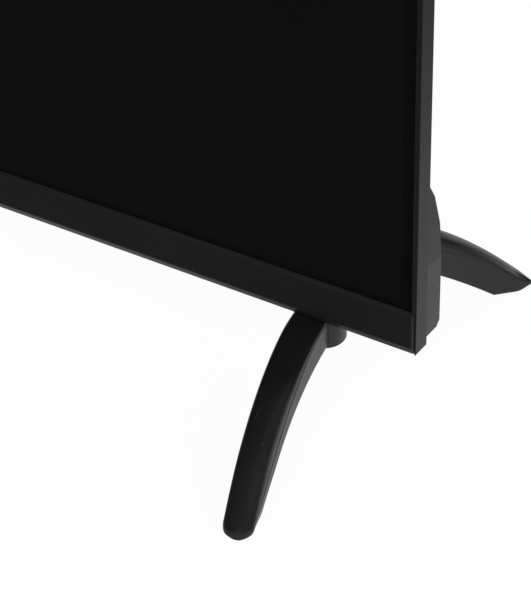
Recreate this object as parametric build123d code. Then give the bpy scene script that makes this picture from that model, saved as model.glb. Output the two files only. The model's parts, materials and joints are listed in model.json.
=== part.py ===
from build123d import *
import os

# Flat screen television on two splayed arch feet, in millimetres.
# X runs along the width, Y runs from the screen to the back, Z is up.
# The origin is on the floor, midway across the width and midway along the feet.
# Depths are measured back from the front face, rises up from the body's underside.

# Whole body
body_width = 960.0
body_height = 563.0
foot_height = 45.8
edge_depth = 9.2
front_reach = 88.15
rear_reach = 127.95

# General clearances
slack = 0.3
cut_overrun = 5.0

# Front frame
frame_wall = 1.6
frame_lip_reach = 2.2
frame_lip_thickness = 1.0
frame_corner_radius = 0.8
frame_rear_round = 0.6
rail_height = 12.0
rail_thickness = 1.2
board_post_width = 3.0

# Bottom trim
trim_height = 20.0
trim_thickness = 1.4
trim_proud = 0.3
trim_bevel = 1.2
trim_low_bevel = 3.0
trim_bevel_depth = 1.1
trim_end_inset = 0.8
trim_end_gap = 0.2

# Screen stack
panel_gap = 0.2
panel_thickness = 1.4
panel_tuck = 3.5
tape_thickness = 0.4
tape_width = 5.0
shelf_thickness = 0.8
shelf_width = 8.0
middle_wall = 2.0
film_thickness = 0.3
plate_thickness = 1.5
plate_margin = 0.6

# Backlight
reflector_thickness = 0.4
tray_thickness = 0.8
tray_depth = 28.0
tray_mouth_inset = 13.0
tray_mouth_lift = 10.0
tray_floor_inset = 40.0
dish_gap = 1.0
strip_count = 3
strip_height = 16.0
strip_thickness = 1.0
strip_end_margin = 10.0
lamps_per_strip = 8
chip_size = 3.5
chip_thickness = 0.8
lens_radius = 7.5
lens_height = 4.6
lens_round = 2.0
lens_hollow_radius = 3.4
lens_hollow_height = 1.6
lamp_hole_radius = 9.0
pin_base_radius = 7.0
pin_tip_radius = 1.2
pin_every = 3

# Electronics on the back of the tray
source_board_height = 22.0
source_board_rise = 40.0
source_board_inner = 30.0
source_board_inset = 88.0
board_thickness = 1.2
flex_width = 46.0
flex_thickness = 0.3
flex_floor_rise = 13.7
flex_depth = 2.0
flexes_per_side = 4
timing_board_width = 150.0
timing_board_height = 56.0
timing_board_rise = 72.0
timing_cover_width = 90.0
timing_cover_height = 34.0
timing_cover_thickness = 3.0
ribbon_width = 40.0
ribbon_overlap = 8.0
link_width = 10.0
link_drop = 1.0
board_standoff = 7.2
standoff_radius = 3.5
standoff_bore = 1.5
main_board_left = 113.0
main_board_width = 119.0
main_board_rise = 84.0
main_board_height = 178.0
power_board_left = -250.0
power_board_width = 138.0
board_hole_margin = 6.0
board_hole_inner = 40.0
board_hole_low = 16.0
board_hole_radius = 1.7
screw_shank_radius = 1.4
screw_head_radius = 2.8
screw_head_height = 1.8
socket_recess_radius = 1.1
processor_size = 27.0
processor_across_share = 0.42
processor_up_share = 0.6
processor_thickness = 2.2
memory_width = 13.0
memory_height = 9.0
memory_thickness = 1.2
memory_pitch = 20.0
memory_count = 4
coil_chip_count = 3
first_chip_inset = 14.0
sink_size = 40.0
sink_base = 3.0
sink_height = 14.0
sink_fins = 9
fin_thickness = 1.2
tuner_width = 24.0
tuner_height = 40.0
tuner_thickness = 9.0
tuner_fold = 0.8
tuner_inset = 12.0
transformer_size = 34.0
transformer_height = 24.0
transformer_shares = (0.3, 0.66)
coil_radius = 11.0
coil_height = 15.0
coil_insets = (44.0, 79.0)
capacitor_radius = 9.0
capacitor_height = 25.0
capacitor_pitch = 22.0
capacitor_count = 3
capacitor_inset = 35.0
power_sink_width = 50.0
power_sink_thickness = 4.0
power_sink_height = 24.0
power_sink_gap = 3.0

# Rear cover
cover_wall = 2.2
dish_mouth_inset = 1.4
dish_back_inset = 28.0
dish_depth = 33.0
bulge_depth = 75.0
bulge_cheek_width = 80.0
bulge_end_inset = 0.6
bulge_end_depth = 20.4
bulge_end_rise = 50.5
bulge_end_top = 79.0
bulge_end_shoulder_share = 0.42
bulge_collar_width = 18.0
bulge_collar_climb = 14.8
bulge_crease_rise = 37.5
bulge_lean_share = 0.105
bulge_underside = 3.5
bulge_heel = 13.0
bulge_heel_rise = 16.5
bulge_end_heel = 2.5
bulge_end_heel_rise = 2.2
bulge_flat_top = 318.0
bulge_brow_depth = 50.0
bulge_brow_rise = 356.0
bulge_top = 378.0
vent_slot_width = 4.0
vent_slot_height = 34.0
vent_pitch = 12.0
vent_count = 40
vent_rise = 262.0
brow_vent_count = 32
brow_vent_share = 0.62
brow_slot_height = 17.0
sound_slot_count = 9
sound_slot_pitch = 5.0
sound_slot_width = 2.2
sound_slot_length = 40.0

# Recesses for plugs
recess_wall = 2.0
recess_board_gap = 5.0
recess_speaker_gap = 3.0
recess_top = 268.0
recess_depth = 33.0
recess_side_gap = 4.0
recess_low_gap = 8.0
plate_sheet = 0.5
inlet_speaker_gap = 27.0
inlet_recess_width = 44.0
inlet_recess_top = 52.0
inlet_recess_depth = 45.0

# Sockets
socket_sheet = 0.5
socket_hole_gap = 0.4
socket_setback = 4.0
side_hdmi_rises = (112.0, 134.0)
low_hdmi_inset = 79.0
hdmi_width = 15.0
hdmi_thickness = 6.0
hdmi_length = 13.0
hdmi_tongue_share = 0.5
usb_width = 13.4
usb_thickness = 6.6
usb_length = 15.0
usb_tongue_share = 0.38
side_usb_rises = (158.0, 180.0)
tongue_thickness = 1.0
tongue_margin = 1.0
network_width = 16.0
network_thickness = 14.0
network_length = 17.0
network_port_width = 11.8
network_port_height = 8.4
network_port_depth = 12.0
network_inset = 57.0
card_slot_width = 58.0
card_slot_thickness = 8.0
card_slot_length = 34.0
card_port_width = 54.4
card_port_height = 5.2
card_port_depth = 30.0
card_slot_rise = 226.0
aerial_radius = 4.8
aerial_length = 16.0
aerial_base = 14.0
aerial_bore = 4.0
aerial_pin = 1.1
aerial_insets = (18.0, 37.0)
jack_size = 9.0
jack_length = 13.0
jack_ring_radius = 4.0
jack_bore = 1.75
jack_insets = (97.0, 110.0)

# Mains inlet
inlet_width = 22.0
inlet_thickness = 14.0
inlet_length = 19.0
inlet_port_radius = 4.2
inlet_port_spacing = 8.6
inlet_port_depth = 12.0
inlet_pin_radius = 1.2
inlet_pin_length = 9.0
inlet_flange = 3.0
inlet_flange_thickness = 2.0

# Wall mount
wall_pattern = 200.0
wall_centre_rise = 206.0
wall_hole_radius = 3.0
wall_post_radius = 8.0
wall_cover_hole = 5.0
wall_bore_length = 29.0

# Cover screws
cover_screw_head_radius = 3.6
cover_screw_head_height = 2.0
cover_screw_shank = 1.5
cover_boss_radius = 5.0
cover_screw_edge = 52.0

# Sound
speaker_inset = 119.0
speaker_rise = 50.0
speaker_width = 76.0
speaker_height = 62.0
speaker_front = 52.0
speaker_depth = 17.0
speaker_wall = 1.6
basket_radius = 22.0
basket_flange = 1.6
basket_height = 5.0
basket_wall = 1.2
magnet_radius = 13.0
magnet_height = 6.0
pole_radius = 5.5
coil_former_radius = 6.6
coil_former_wall = 0.6
cone_radius = 15.0
cone_height = 4.0
cone_wall = 0.8
cone_travel = 0.6
surround_height = 1.6
grommet_radius = 4.0
grommet_hole = 1.8
grommet_inset = 6.0

# Keys
key_count = 6
key_pitch = 17.0
key_first_rise = 120.0
key_inset = 150.0
key_width = 12.0
key_height = 9.0
key_proud = 1.4
key_round = 0.6
key_flange = 1.6
key_flange_thickness = 1.0
key_travel = 0.6
key_dish_depth = 0.8
key_dish_margin = 4.0
key_board_depth = 62.0
key_board_width = 20.0
switch_size = 6.2
switch_height = 3.6
stem_radius = 1.5
key_post_radius = 3.0

# Infrared window and board
window_width = 24.0
window_depth = 6.0
window_front = 3.0
window_drop = 2.5
sensor_board_width = 34.0
sensor_board_rise = 7.5
sensor_size = 5.0
sensor_height = 3.0

# Feet
foot_centre_inset = 58.7
foot_crown_depth = 59.75
foot_width = 19.0
foot_toe_width = 12.8
foot_crown_drop = 0.4
foot_crown_thickness = 12.0
foot_toe_height = 4.2
front_toe_round = 4.2
rear_toe_round = 6.9
front_splay = 28.7
rear_splay = 45.6
foot_top_round = 3.4
foot_low_round = 0.8
foot_boss_radius = 9.5
foot_boss_depth = 11.2
foot_boss_inset = 50.5
foot_boss_drop = 16.5
foot_boss_round = 2.0
foot_front_screw_depth = 13.0
foot_front_screw_inset = 51.7
foot_rear_screw_depth = 33.0
foot_screw_radius = 2.0
foot_screw_hole = 2.3
foot_screw_head_radius = 3.8
foot_screw_head_height = 2.6
foot_head_bore = 4.4
foot_screw_seat = 6.0
foot_recess_radius = 2.2
foot_seat_width = 14.0
foot_seat_front = 11.0
foot_seat_back = 37.0
foot_seat_drop = 2.0
pad_thickness = 1.2
pad_radius = 3.8
pad_proud = 0.4
pad_pocket_gap = 0.2
front_splay_power = 1.56
rear_splay_power = 1.72
front_fall_shares = (-0.503, 0.866)
rear_fall_shares = (-0.337, 1.441)
front_heel_share = 0.905
rear_heel_share = 0.83
front_under_power = 3.38
rear_under_power = 1.5
top_round_share = 0.7
low_round_share = 0.2
station_shares = (0.28, 0.4, 0.5, 0.68, 0.84, 0.94, 1.01)

# Foot brackets
bracket_width = 34.0
bracket_floor_back = 34.0
bracket_thickness = 3.0
bracket_height = 70.0
bracket_hole_gap = 0.1

# Leads
lead_radius = 1.0
mains_lead_radius = 2.4
link_lead_radius = 2.0
lead_bend = 5.0
lead_clearance = 8.8
lead_margin = 8.0
mains_lead_inset = 16.0
link_lead_drop = 24.0
lamp_lead_inset = 46.0
speaker_lead_offset = 32.0
speaker_lead_inset = 18.0
speaker_lead_share = 0.33
speaker_lead_clearance = 12.0
key_lead_inset = 16.0
key_lead_clearance = 20.0
sensor_lead_x = 12.0

half_width = body_width / 2
back = (0, 1, 0)
forward = (0, -1, 0)
up = (0, 0, 1)
down = (0, 0, -1)
right = (1, 0, 0)

# Depths of the layers behind the front face
trim_back = trim_thickness - trim_proud
panel_front = frame_lip_thickness + panel_gap
panel_back = panel_front + panel_thickness
tape_back = panel_back + tape_thickness
shelf_back = tape_back + shelf_thickness
prism_back = shelf_back + film_thickness
diffuser_back = prism_back + film_thickness
plate_back = diffuser_back + plate_thickness
reflector_flange_back = plate_back + reflector_thickness
tray_flange_back = reflector_flange_back + tray_thickness
strip_front = tray_depth - strip_thickness
reflector_floor = strip_front - reflector_thickness
tray_back = tray_depth + tray_thickness
board_front = tray_back + board_standoff
board_back = board_front + board_thickness
speaker_back = speaker_front + speaker_depth
lead_level = board_back + lead_clearance

# Places that keep their distance from the body's sides
source_board_outer = half_width - source_board_inset
bulge_half_width = half_width - bulge_cheek_width
speaker_centre = half_width - speaker_inset
key_centre = key_inset - half_width
recess_right = speaker_centre - speaker_width / 2 - recess_speaker_gap
inlet_recess_left = inlet_speaker_gap + speaker_width / 2 - speaker_centre

# Places on the main board, and the faces of its sockets at the side and below
low_hdmi_x = main_board_left + low_hdmi_inset
network_x = main_board_left + network_inset
aerial_x = [main_board_left + inset for inset in aerial_insets]
audio_jack_x = [main_board_left + inset for inset in jack_insets]
recess_left = main_board_left - recess_board_gap
board_top = main_board_rise + main_board_height
processor_x = main_board_left + main_board_width * processor_across_share
processor_rise = main_board_rise + main_board_height * processor_up_share
recess_side = main_board_left + main_board_width + recess_side_gap
recess_low = main_board_rise - recess_low_gap
side_face = recess_side + plate_sheet
low_face = recess_low - plate_sheet

# Sizes of the screen stack, across and up
cavity_half = half_width - frame_wall
cavity_low = frame_wall
cavity_high = body_height - frame_wall
panel_half = cavity_half - slack
panel_low = trim_height - panel_tuck
panel_high = cavity_high - slack
middle_low = panel_low - panel_gap
stack_half = panel_half - middle_wall - plate_margin
stack_low = middle_low + middle_wall + plate_margin
stack_high = panel_high - middle_wall - plate_margin


foot_crown_x = half_width - foot_centre_inset
foot_boss_x = half_width - foot_boss_inset
foot_front_screw_x = half_width - foot_front_screw_inset
foot_screw_depths = (foot_front_screw_depth, foot_rear_screw_depth)


def foot_screw_x(depth):
    return foot_front_screw_x if depth == foot_front_screw_depth else foot_crown_x


def arm_sizes(direction):
    # Splay, the power of its growth, and length: the front arm is -1, the rear arm 1.
    if direction < 0:
        return front_splay, front_splay_power, front_reach + foot_crown_depth
    return rear_splay, rear_splay_power, rear_reach - foot_crown_depth


def arm_middle(share, direction):
    # Middle of the arm in plan at a share of its length, and the way it heads there.
    splay, power, length = arm_sizes(direction)
    heading = Vector(splay * power * share ** (power - 1), direction * length, 0).normalized()
    return foot_crown_x + splay * share ** power, foot_crown_depth + direction * length * share, heading


def arm_width(share):
    return foot_width + (foot_toe_width - foot_width) * share


def toe_place(direction):
    # Where the toe starts to round off: its place and heading, half its width, and how far it goes on.
    splay, power, length = arm_sizes(direction)
    toe_round = front_toe_round if direction < 0 else rear_toe_round
    share = 1 - toe_round / Vector(splay * power, length, 0).length
    x, depth, heading = arm_middle(share, direction)
    return x, depth, heading, arm_width(share) / 2, toe_round


def toe_reach(direction):
    # Depth of the outermost point of a rounded toe.
    x, depth, heading, half, toe_round = toe_place(direction)
    return depth + direction * Vector(toe_round * heading.Y, half * heading.X, 0).length


# The origin is midway between the outermost points of the toes.
front_y = -(toe_reach(-1) + toe_reach(1)) / 2


def place(x, depth, rise):
    return Vector(x, front_y + depth, foot_height + rise)


def block(x_low, x_high, depth_low, depth_high, rise_low, rise_high):
    # Box between two opposite corners.
    size = (x_high - x_low, depth_high - depth_low, rise_high - rise_low)
    return Solid.make_box(*size, Plane(origin=place(x_low, depth_low, rise_low)))


def rod(x, depth, rise, radius, length, along):
    # Round bar that starts at a point and runs along a direction.
    return Solid.make_cylinder(radius, length, Plane(origin=place(x, depth, rise), z_dir=along))


def taper(x, depth, rise, start_radius, end_radius, length, along):
    return Solid.make_cone(start_radius, end_radius, length, Plane(origin=place(x, depth, rise), z_dir=along))


def outline_across(points, x):
    # Flat face at one x, with its corners given as (depth, rise).
    return Face(Wire.make_polygon([place(x, depth, rise) for depth, rise in points], close=True))


def outline_facing(points, depth):
    # Flat face at one depth, with its corners given as (x, rise).
    return Face(Wire.make_polygon([place(x, depth, rise) for x, rise in points], close=True))


def bar_across(points, x_low, x_high):
    # The outline in depth and rise carried from one x to another.
    return Solid.extrude(outline_across(points, x_low), Vector(x_high - x_low, 0, 0))


def skin_between(faces):
    # Straight-sided solid through a row of outlines.
    return Solid.make_loft([face.outer_wire() for face in faces], ruled=True)


def frustum(front_corners, front_depth, back_corners, back_depth):
    # Solid between two upright rectangles, each (half width, low rise, high rise).
    faces = []
    for corners, depth in ((front_corners, front_depth), (back_corners, back_depth)):
        half, low, high = corners
        faces.append(outline_facing([(-half, low), (half, low), (half, high), (-half, high)], depth))
    return skin_between(faces)


def ring(half, low, high, width, depth_low, depth_high):
    # Upright rectangular ring with one width all round.
    inner = block(width - half, half - width, depth_low - cut_overrun, depth_high + cut_overrun,
                  low + width, high - width)
    return block(-half, half, depth_low, depth_high, low, high) - inner


def cut(solid, cutters):
    # The cutters go one after another, so that they may touch.
    for cutter in cutters:
        solid = solid - cutter
    return solid


def spread(low, high, count):
    # Evenly spaced values, the first and last half a step inside the ends.
    step = (high - low) / count
    return [low + step / 2 + step * index for index in range(count)]


def lead(points, radius):
    # Round lead along straight runs joined by tangent arcs.
    bends = [lead_bend] * (len(points) - 2)
    path = FilletPolyline(*[place(*point) for point in points], radius=bends)
    start = Plane(origin=path @ 0, z_dir=path % 0)
    return sweep(start * Circle(radius), path=path).solid()


def front_frame():
    outer = block(-half_width, half_width, 0, edge_depth, 0, body_height)
    corners = outer.edges().filter_by(Axis.Y)
    outer = outer.fillet(frame_corner_radius, corners)
    rear_face = outer.faces().sort_by(Axis.Y)[-1]
    outer = outer.fillet(frame_rear_round, rear_face.edges())
    cavity = block(-cavity_half, cavity_half, frame_lip_thickness, edge_depth + cut_overrun,
                   cavity_low, cavity_high)
    window_half = half_width - frame_lip_reach
    window = block(-window_half, window_half, -cut_overrun, trim_back, trim_height,
                   body_height - frame_lip_reach)
    seat_half = half_width - trim_end_inset + trim_end_gap
    trim_seat = block(-seat_half, seat_half, -cut_overrun, trim_back, -cut_overrun,
                      trim_height + trim_end_gap)
    rail = block(-cavity_half, cavity_half, trim_back, trim_back + rail_thickness, cavity_low, rail_height)
    lens_slot = block(-window_width / 2 - slack, window_width / 2 + slack, window_front - slack,
                      window_front + window_depth + slack, -cut_overrun, frame_wall + slack)
    rear_lip = block(-cavity_half, cavity_half, edge_depth - frame_wall, edge_depth, cavity_low,
                     bulge_underside + cover_wall)
    frame = cut(outer, [cavity, window, trim_seat]) + rail + rear_lip
    for x in (-sensor_board_width / 2, sensor_board_width / 2 - board_post_width):
        frame = frame + block(x, x + board_post_width, window_front, window_front + window_depth,
                              cavity_low, sensor_board_rise)
    return [frame - lens_slot]


def bottom_trim():
    # Bar with a bevel round its front face, which is higher along the bottom.
    half = half_width - trim_end_inset
    bevel_back = trim_bevel_depth - trim_proud
    face = (half - trim_bevel, trim_low_bevel, trim_height - trim_bevel)
    bevels = frustum(face, -trim_proud, (half, 0, trim_height), bevel_back)
    return [bevels + block(-half, half, bevel_back, trim_back, 0, trim_height)]


def lcd_panel():
    return [block(-panel_half, panel_half, panel_front, panel_back, panel_low, panel_high)]


def panel_tape():
    return [ring(panel_half, panel_low, panel_high, tape_width, panel_back, tape_back)]


def middle_frame():
    wall = ring(panel_half, middle_low, panel_high, middle_wall, tape_back, tray_flange_back)
    shelf = ring(panel_half, middle_low, panel_high, shelf_width, tape_back, shelf_back)
    return [wall + shelf]


def sheet_layer(depth_low, depth_high):
    return [block(-stack_half, stack_half, depth_low, depth_high, stack_low, stack_high)]


def dish_mouth(inset):
    return (half_width - tray_mouth_inset - inset, tray_mouth_inset + tray_mouth_lift + inset,
            body_height - tray_mouth_inset - inset)


def dish_floor(inset):
    return (half_width - tray_floor_inset - inset, tray_floor_inset + inset,
            body_height - tray_floor_inset - inset)


def lamp_places():
    half, low, high = dish_floor(0)
    places = []
    for rise in spread(low, high, strip_count):
        for x in spread(-half, half, lamps_per_strip):
            places.append((x, rise))
    return places


def pin_places():
    half, low, high = dish_floor(0)
    rows = spread(low, high, strip_count)
    columns = spread(-half, half, lamps_per_strip)
    places = []
    for lower, upper in zip(rows, rows[1:]):
        for left_index in range(0, lamps_per_strip - 1, pin_every):
            x = (columns[left_index] + columns[left_index + 1]) / 2
            places.append((x, (lower + upper) / 2))
    return places


def reflector_sheet():
    flange = block(-stack_half, stack_half, plate_back, reflector_flange_back, stack_low, stack_high)
    skin = dish_gap + reflector_thickness
    shell = frustum(dish_mouth(dish_gap), plate_back, dish_floor(dish_gap), strip_front)
    hollow = frustum(dish_mouth(skin), plate_back - slack, dish_floor(skin), reflector_floor)
    sheet = (flange + shell) - hollow
    holes = [rod(x, reflector_floor - slack, rise, lamp_hole_radius, reflector_thickness + slack * 2, back)
             for x, rise in lamp_places()]
    return [cut(sheet, holes)]


def backlight_tray():
    flange = block(-stack_half, stack_half, reflector_flange_back, tray_flange_back, stack_low, stack_high)
    outer_floor = dish_floor(-tray_thickness)
    shell = frustum(dish_mouth(-tray_thickness), reflector_flange_back, outer_floor, tray_back)
    hollow = frustum(dish_mouth(0), reflector_flange_back, dish_floor(0), tray_depth)
    mouth = block(-dish_mouth(0)[0], dish_mouth(0)[0], plate_back, reflector_flange_back + slack,
                  dish_mouth(0)[1], dish_mouth(0)[2])
    tray = cut(flange + shell, [hollow, mouth])
    holes = [rod(x, tray_depth - slack, rise, cover_screw_shank + slack, tray_thickness + slack * 2, back)
             for x, rise in cover_screw_places()]
    return [cut(tray, holes)]


def led_strips():
    half = dish_floor(0)[0] - strip_end_margin
    solids = []
    for rise in sorted({rise for x, rise in lamp_places()}):
        solids.append(block(-half, half, strip_front, tray_depth, rise - strip_height / 2,
                            rise + strip_height / 2))
    for x, rise in lamp_places():
        solids.append(block(x - chip_size / 2, x + chip_size / 2, strip_front - chip_thickness, strip_front,
                            rise - chip_size / 2, rise + chip_size / 2))
    return solids


def led_lenses():
    solids = []
    for x, rise in lamp_places():
        lens = rod(x, strip_front, rise, lens_radius, lens_height, forward)
        crown = lens.edges().sort_by(Axis.Y)[0]
        lens = lens.fillet(lens_round, [crown])
        solids.append(lens - rod(x, strip_front, rise, lens_hollow_radius, lens_hollow_height, forward))
    return solids


def support_pins():
    length = reflector_floor - plate_back - slack
    return [taper(x, reflector_floor, rise, pin_base_radius, pin_tip_radius, length, forward)
            for x, rise in pin_places()]


def source_spans():
    return [(-source_board_outer, -source_board_inner), (source_board_inner, source_board_outer)]


def source_boards():
    return [block(low, high, tray_back, tray_back + board_thickness, source_board_rise,
                  source_board_rise + source_board_height) for low, high in source_spans()]


def panel_flexes():
    # Thin strips folded from the panel's lower edge under the tray to the source boards.
    end_depth = tray_back + board_thickness / 2
    inner_low = flex_floor_rise + flex_thickness
    points = [(flex_depth, panel_low), (flex_depth, flex_floor_rise),
              (end_depth + flex_thickness, flex_floor_rise),
              (end_depth + flex_thickness, source_board_rise), (end_depth, source_board_rise),
              (end_depth, inner_low), (flex_depth + flex_thickness, inner_low),
              (flex_depth + flex_thickness, panel_low)]
    solids = []
    for low, high in source_spans():
        for x in spread(low, high, flexes_per_side):
            solids.append(bar_across(points, x - flex_width / 2, x + flex_width / 2))
    return solids


def timing_board():
    half = timing_board_width / 2
    board = block(-half, half, tray_back, tray_back + board_thickness, timing_board_rise,
                  timing_board_rise + timing_board_height)
    middle = timing_board_rise + timing_board_height / 2
    depth = tray_back + board_thickness
    cover = block(-timing_cover_width / 2, timing_cover_width / 2, depth, depth + timing_cover_thickness,
                  middle - timing_cover_height / 2, middle + timing_cover_height / 2)
    return [board, cover]


def flat_cables():
    # Two short ribbons from the timing board to the source boards, one long one to the main board.
    depth = tray_back + board_thickness
    low = source_board_rise + source_board_height - ribbon_overlap
    high = timing_board_rise + ribbon_overlap
    solids = []
    for low_x in (-source_board_inner - ribbon_width, source_board_inner):
        solids.append(block(low_x, low_x + ribbon_width, depth, depth + flex_thickness, low, high))
    start = timing_board_width / 2 - ribbon_overlap
    top = timing_board_rise + timing_board_height - link_drop
    end = main_board_left + ribbon_overlap
    across = block(start, end, depth, depth + flex_thickness, top - link_width, top)
    step = block(end - flex_thickness, end, depth, board_front, top - link_width, top)
    solids.append(across + step)
    return solids


def board_corners(low_x, width):
    xs = (low_x + board_hole_margin, low_x + width - board_hole_inner)
    rises = (main_board_rise + board_hole_low, main_board_rise + main_board_height - board_hole_margin)
    return [(x, rise) for x in xs for rise in rises]


def all_board_corners():
    main_corners = board_corners(main_board_left, main_board_width)
    return main_corners + board_corners(power_board_left, power_board_width)


def circuit_board(low_x, width):
    board = block(low_x, low_x + width, board_front, board_back, main_board_rise,
                  main_board_rise + main_board_height)
    holes = [rod(x, board_front - slack, rise, board_hole_radius, board_thickness + slack * 2, back)
             for x, rise in board_corners(low_x, width)]
    return cut(board, holes)


def board_standoffs():
    solids = []
    for x, rise in all_board_corners():
        post = rod(x, tray_back, rise, standoff_radius, board_standoff, back)
        solids.append(post - rod(x, tray_back + tray_thickness, rise, standoff_bore, board_standoff, back))
    return solids


def board_screws():
    solids = []
    shank_length = board_back - tray_back - tray_thickness * 2
    recess_start = board_back + screw_head_height / 2
    for x, rise in all_board_corners():
        shank = rod(x, board_back, rise, screw_shank_radius, shank_length, forward)
        head = rod(x, board_back, rise, screw_head_radius, screw_head_height, back)
        recess = rod(x, recess_start, rise, socket_recess_radius, screw_head_height, back)
        solids.append((shank + head) - recess)
    return solids


def main_board_chips():
    half = processor_size / 2
    solids = [block(processor_x - half, processor_x + half, board_back, board_back + processor_thickness,
                    processor_rise - half, processor_rise + half)]
    for index in range(memory_count):
        x = main_board_left + first_chip_inset + memory_pitch * index
        rise = processor_rise + sink_size / 2 + memory_height
        solids.append(block(x, x + memory_width, board_back, board_back + memory_thickness, rise,
                            rise + memory_height))
    for index in range(coil_chip_count):
        x = main_board_left + first_chip_inset + memory_pitch * index
        rise = processor_rise - sink_size / 2 - memory_height
        solids.append(rod(x, board_back, rise, memory_height / 2, memory_width / 2, back))
    return solids


def heat_sink():
    depth = board_back + processor_thickness
    half = sink_size / 2
    sink = block(processor_x - half, processor_x + half, depth, depth + sink_base, processor_rise - half,
                 processor_rise + half)
    for x in spread(processor_x - half, processor_x + half, sink_fins):
        sink = sink + block(x - fin_thickness / 2, x + fin_thickness / 2, depth + sink_base,
                            depth + sink_height, processor_rise - half, processor_rise + half)
    return [sink]


def tuner_can():
    low = main_board_rise + aerial_base + slack
    high = low + tuner_height
    x = main_board_left + tuner_inset
    can = block(x, x + tuner_width, board_back, board_back + tuner_thickness, low, high)
    hollow = block(x + tuner_fold, x + tuner_width - tuner_fold, board_back - slack,
                   board_back + tuner_thickness - tuner_fold, low + tuner_fold, high - tuner_fold)
    return [can - hollow]


def power_board_parts():
    low_x = power_board_left
    middle = main_board_rise + main_board_height / 2
    solids = []
    for share in transformer_shares:
        x = low_x + power_board_width * share
        solids.append(block(x - transformer_size / 2, x + transformer_size / 2, board_back,
                            board_back + transformer_height, middle - transformer_size / 2,
                            middle + transformer_size / 2))
    for index in range(capacitor_count):
        x = low_x + capacitor_inset + capacitor_pitch * index
        rise = middle + transformer_size / 2 + capacitor_pitch
        solids.append(rod(x, board_back, rise, capacitor_radius, capacitor_height, back))
    for inset in coil_insets:
        x = low_x + inset
        rise = middle - transformer_size / 2 - capacitor_pitch
        coil = rod(x, board_back, rise, coil_radius, coil_height, back)
        solids.append(coil - rod(x, board_back, rise, coil_radius / 2, coil_height * 2, back))
    return solids


def power_heat_sinks():
    middle = main_board_rise + main_board_height / 2
    gap = transformer_size / 2 + power_sink_gap
    solids = []
    for rise in (middle - gap - power_sink_thickness, middle + gap):
        x = power_board_left + power_board_width - board_hole_margin - power_sink_width
        solids.append(block(x, x + power_sink_width, board_back, board_back + power_sink_height, rise,
                            rise + power_sink_thickness))
    return solids


def port_shell(side, centre, width, thickness, length, tongue_share):
    # Folded metal shell around a tongue, open towards the socket's face.
    sheet = socket_sheet
    depth_low = board_back
    depth_high = board_back + thickness
    tongue_low = board_back + thickness * tongue_share - tongue_thickness / 2
    half = width / 2
    if side:
        outer = block(side_face - length, side_face, depth_low, depth_high, centre - half, centre + half)
        inner = block(side_face - length + sheet, side_face + cut_overrun, depth_low + sheet,
                      depth_high - sheet, centre - half + sheet, centre + half - sheet)
        tongue = block(side_face - length, side_face - tongue_margin, tongue_low,
                       tongue_low + tongue_thickness, centre - half + sheet + tongue_margin,
                       centre + half - sheet - tongue_margin)
    else:
        outer = block(centre - half, centre + half, depth_low, depth_high, low_face, low_face + length)
        inner = block(centre - half + sheet, centre + half - sheet, depth_low + sheet, depth_high - sheet,
                      low_face - cut_overrun, low_face + length - sheet)
        tongue = block(centre - half + sheet + tongue_margin, centre + half - sheet - tongue_margin,
                       tongue_low, tongue_low + tongue_thickness, low_face + tongue_margin,
                       low_face + length)
    return (outer - inner) + tongue


def hdmi_sockets():
    size = (hdmi_width, hdmi_thickness, hdmi_length, hdmi_tongue_share)
    side_ports = [port_shell(True, rise, *size) for rise in side_hdmi_rises]
    return side_ports + [port_shell(False, low_hdmi_x, *size)]


def usb_sockets():
    size = (usb_width, usb_thickness, usb_length, usb_tongue_share)
    return [port_shell(True, rise, *size) for rise in side_usb_rises]


def network_port(grow):
    half = network_port_width / 2 + grow
    middle = board_back + network_thickness / 2
    return block(network_x - half, network_x + half, middle - network_port_height / 2 - grow,
                 middle + network_port_height / 2 + grow, low_face - cut_overrun,
                 low_face + network_port_depth)


def network_socket():
    body = block(network_x - network_width / 2, network_x + network_width / 2, board_back,
                 board_back + network_thickness, low_face, low_face + network_length)
    return [body - network_port(0)]


def card_slot():
    half = card_slot_width / 2
    body = block(side_face - card_slot_length, side_face, board_back, board_back + card_slot_thickness,
                 card_slot_rise - half, card_slot_rise + half)
    middle = board_back + card_slot_thickness / 2
    port = block(side_face - card_port_depth, side_face + cut_overrun, middle - card_port_height / 2,
                 middle + card_port_height / 2, card_slot_rise - card_port_width / 2,
                 card_slot_rise + card_port_width / 2)
    return [body - port]


def aerial_sockets():
    solids = []
    for x in aerial_x:
        middle = board_back + aerial_radius + slack
        start = low_face + socket_setback
        base = block(x - aerial_radius, x + aerial_radius, board_back, board_back + aerial_radius * 2 + slack,
                     start, start + aerial_base)
        barrel = rod(x, middle, start, aerial_radius, aerial_length, down)
        bore = rod(x, middle, start, aerial_bore, aerial_length * 2, down)
        pin = rod(x, middle, start, aerial_pin, aerial_length - tongue_margin, down)
        solids.append((base + barrel) - bore + pin)
    return solids


def audio_jacks():
    solids = []
    for x in audio_jack_x:
        middle = board_back + jack_size / 2
        base = block(x - jack_size / 2, x + jack_size / 2, board_back, board_back + jack_size,
                     low_face + socket_setback, low_face + jack_length)
        neck = rod(x, middle, low_face + socket_setback, jack_ring_radius, socket_setback, down)
        bore = rod(x, middle, low_face + jack_length - recess_wall, jack_bore, jack_length * 2, down)
        solids.append((base + neck) - bore)
    return solids


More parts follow.
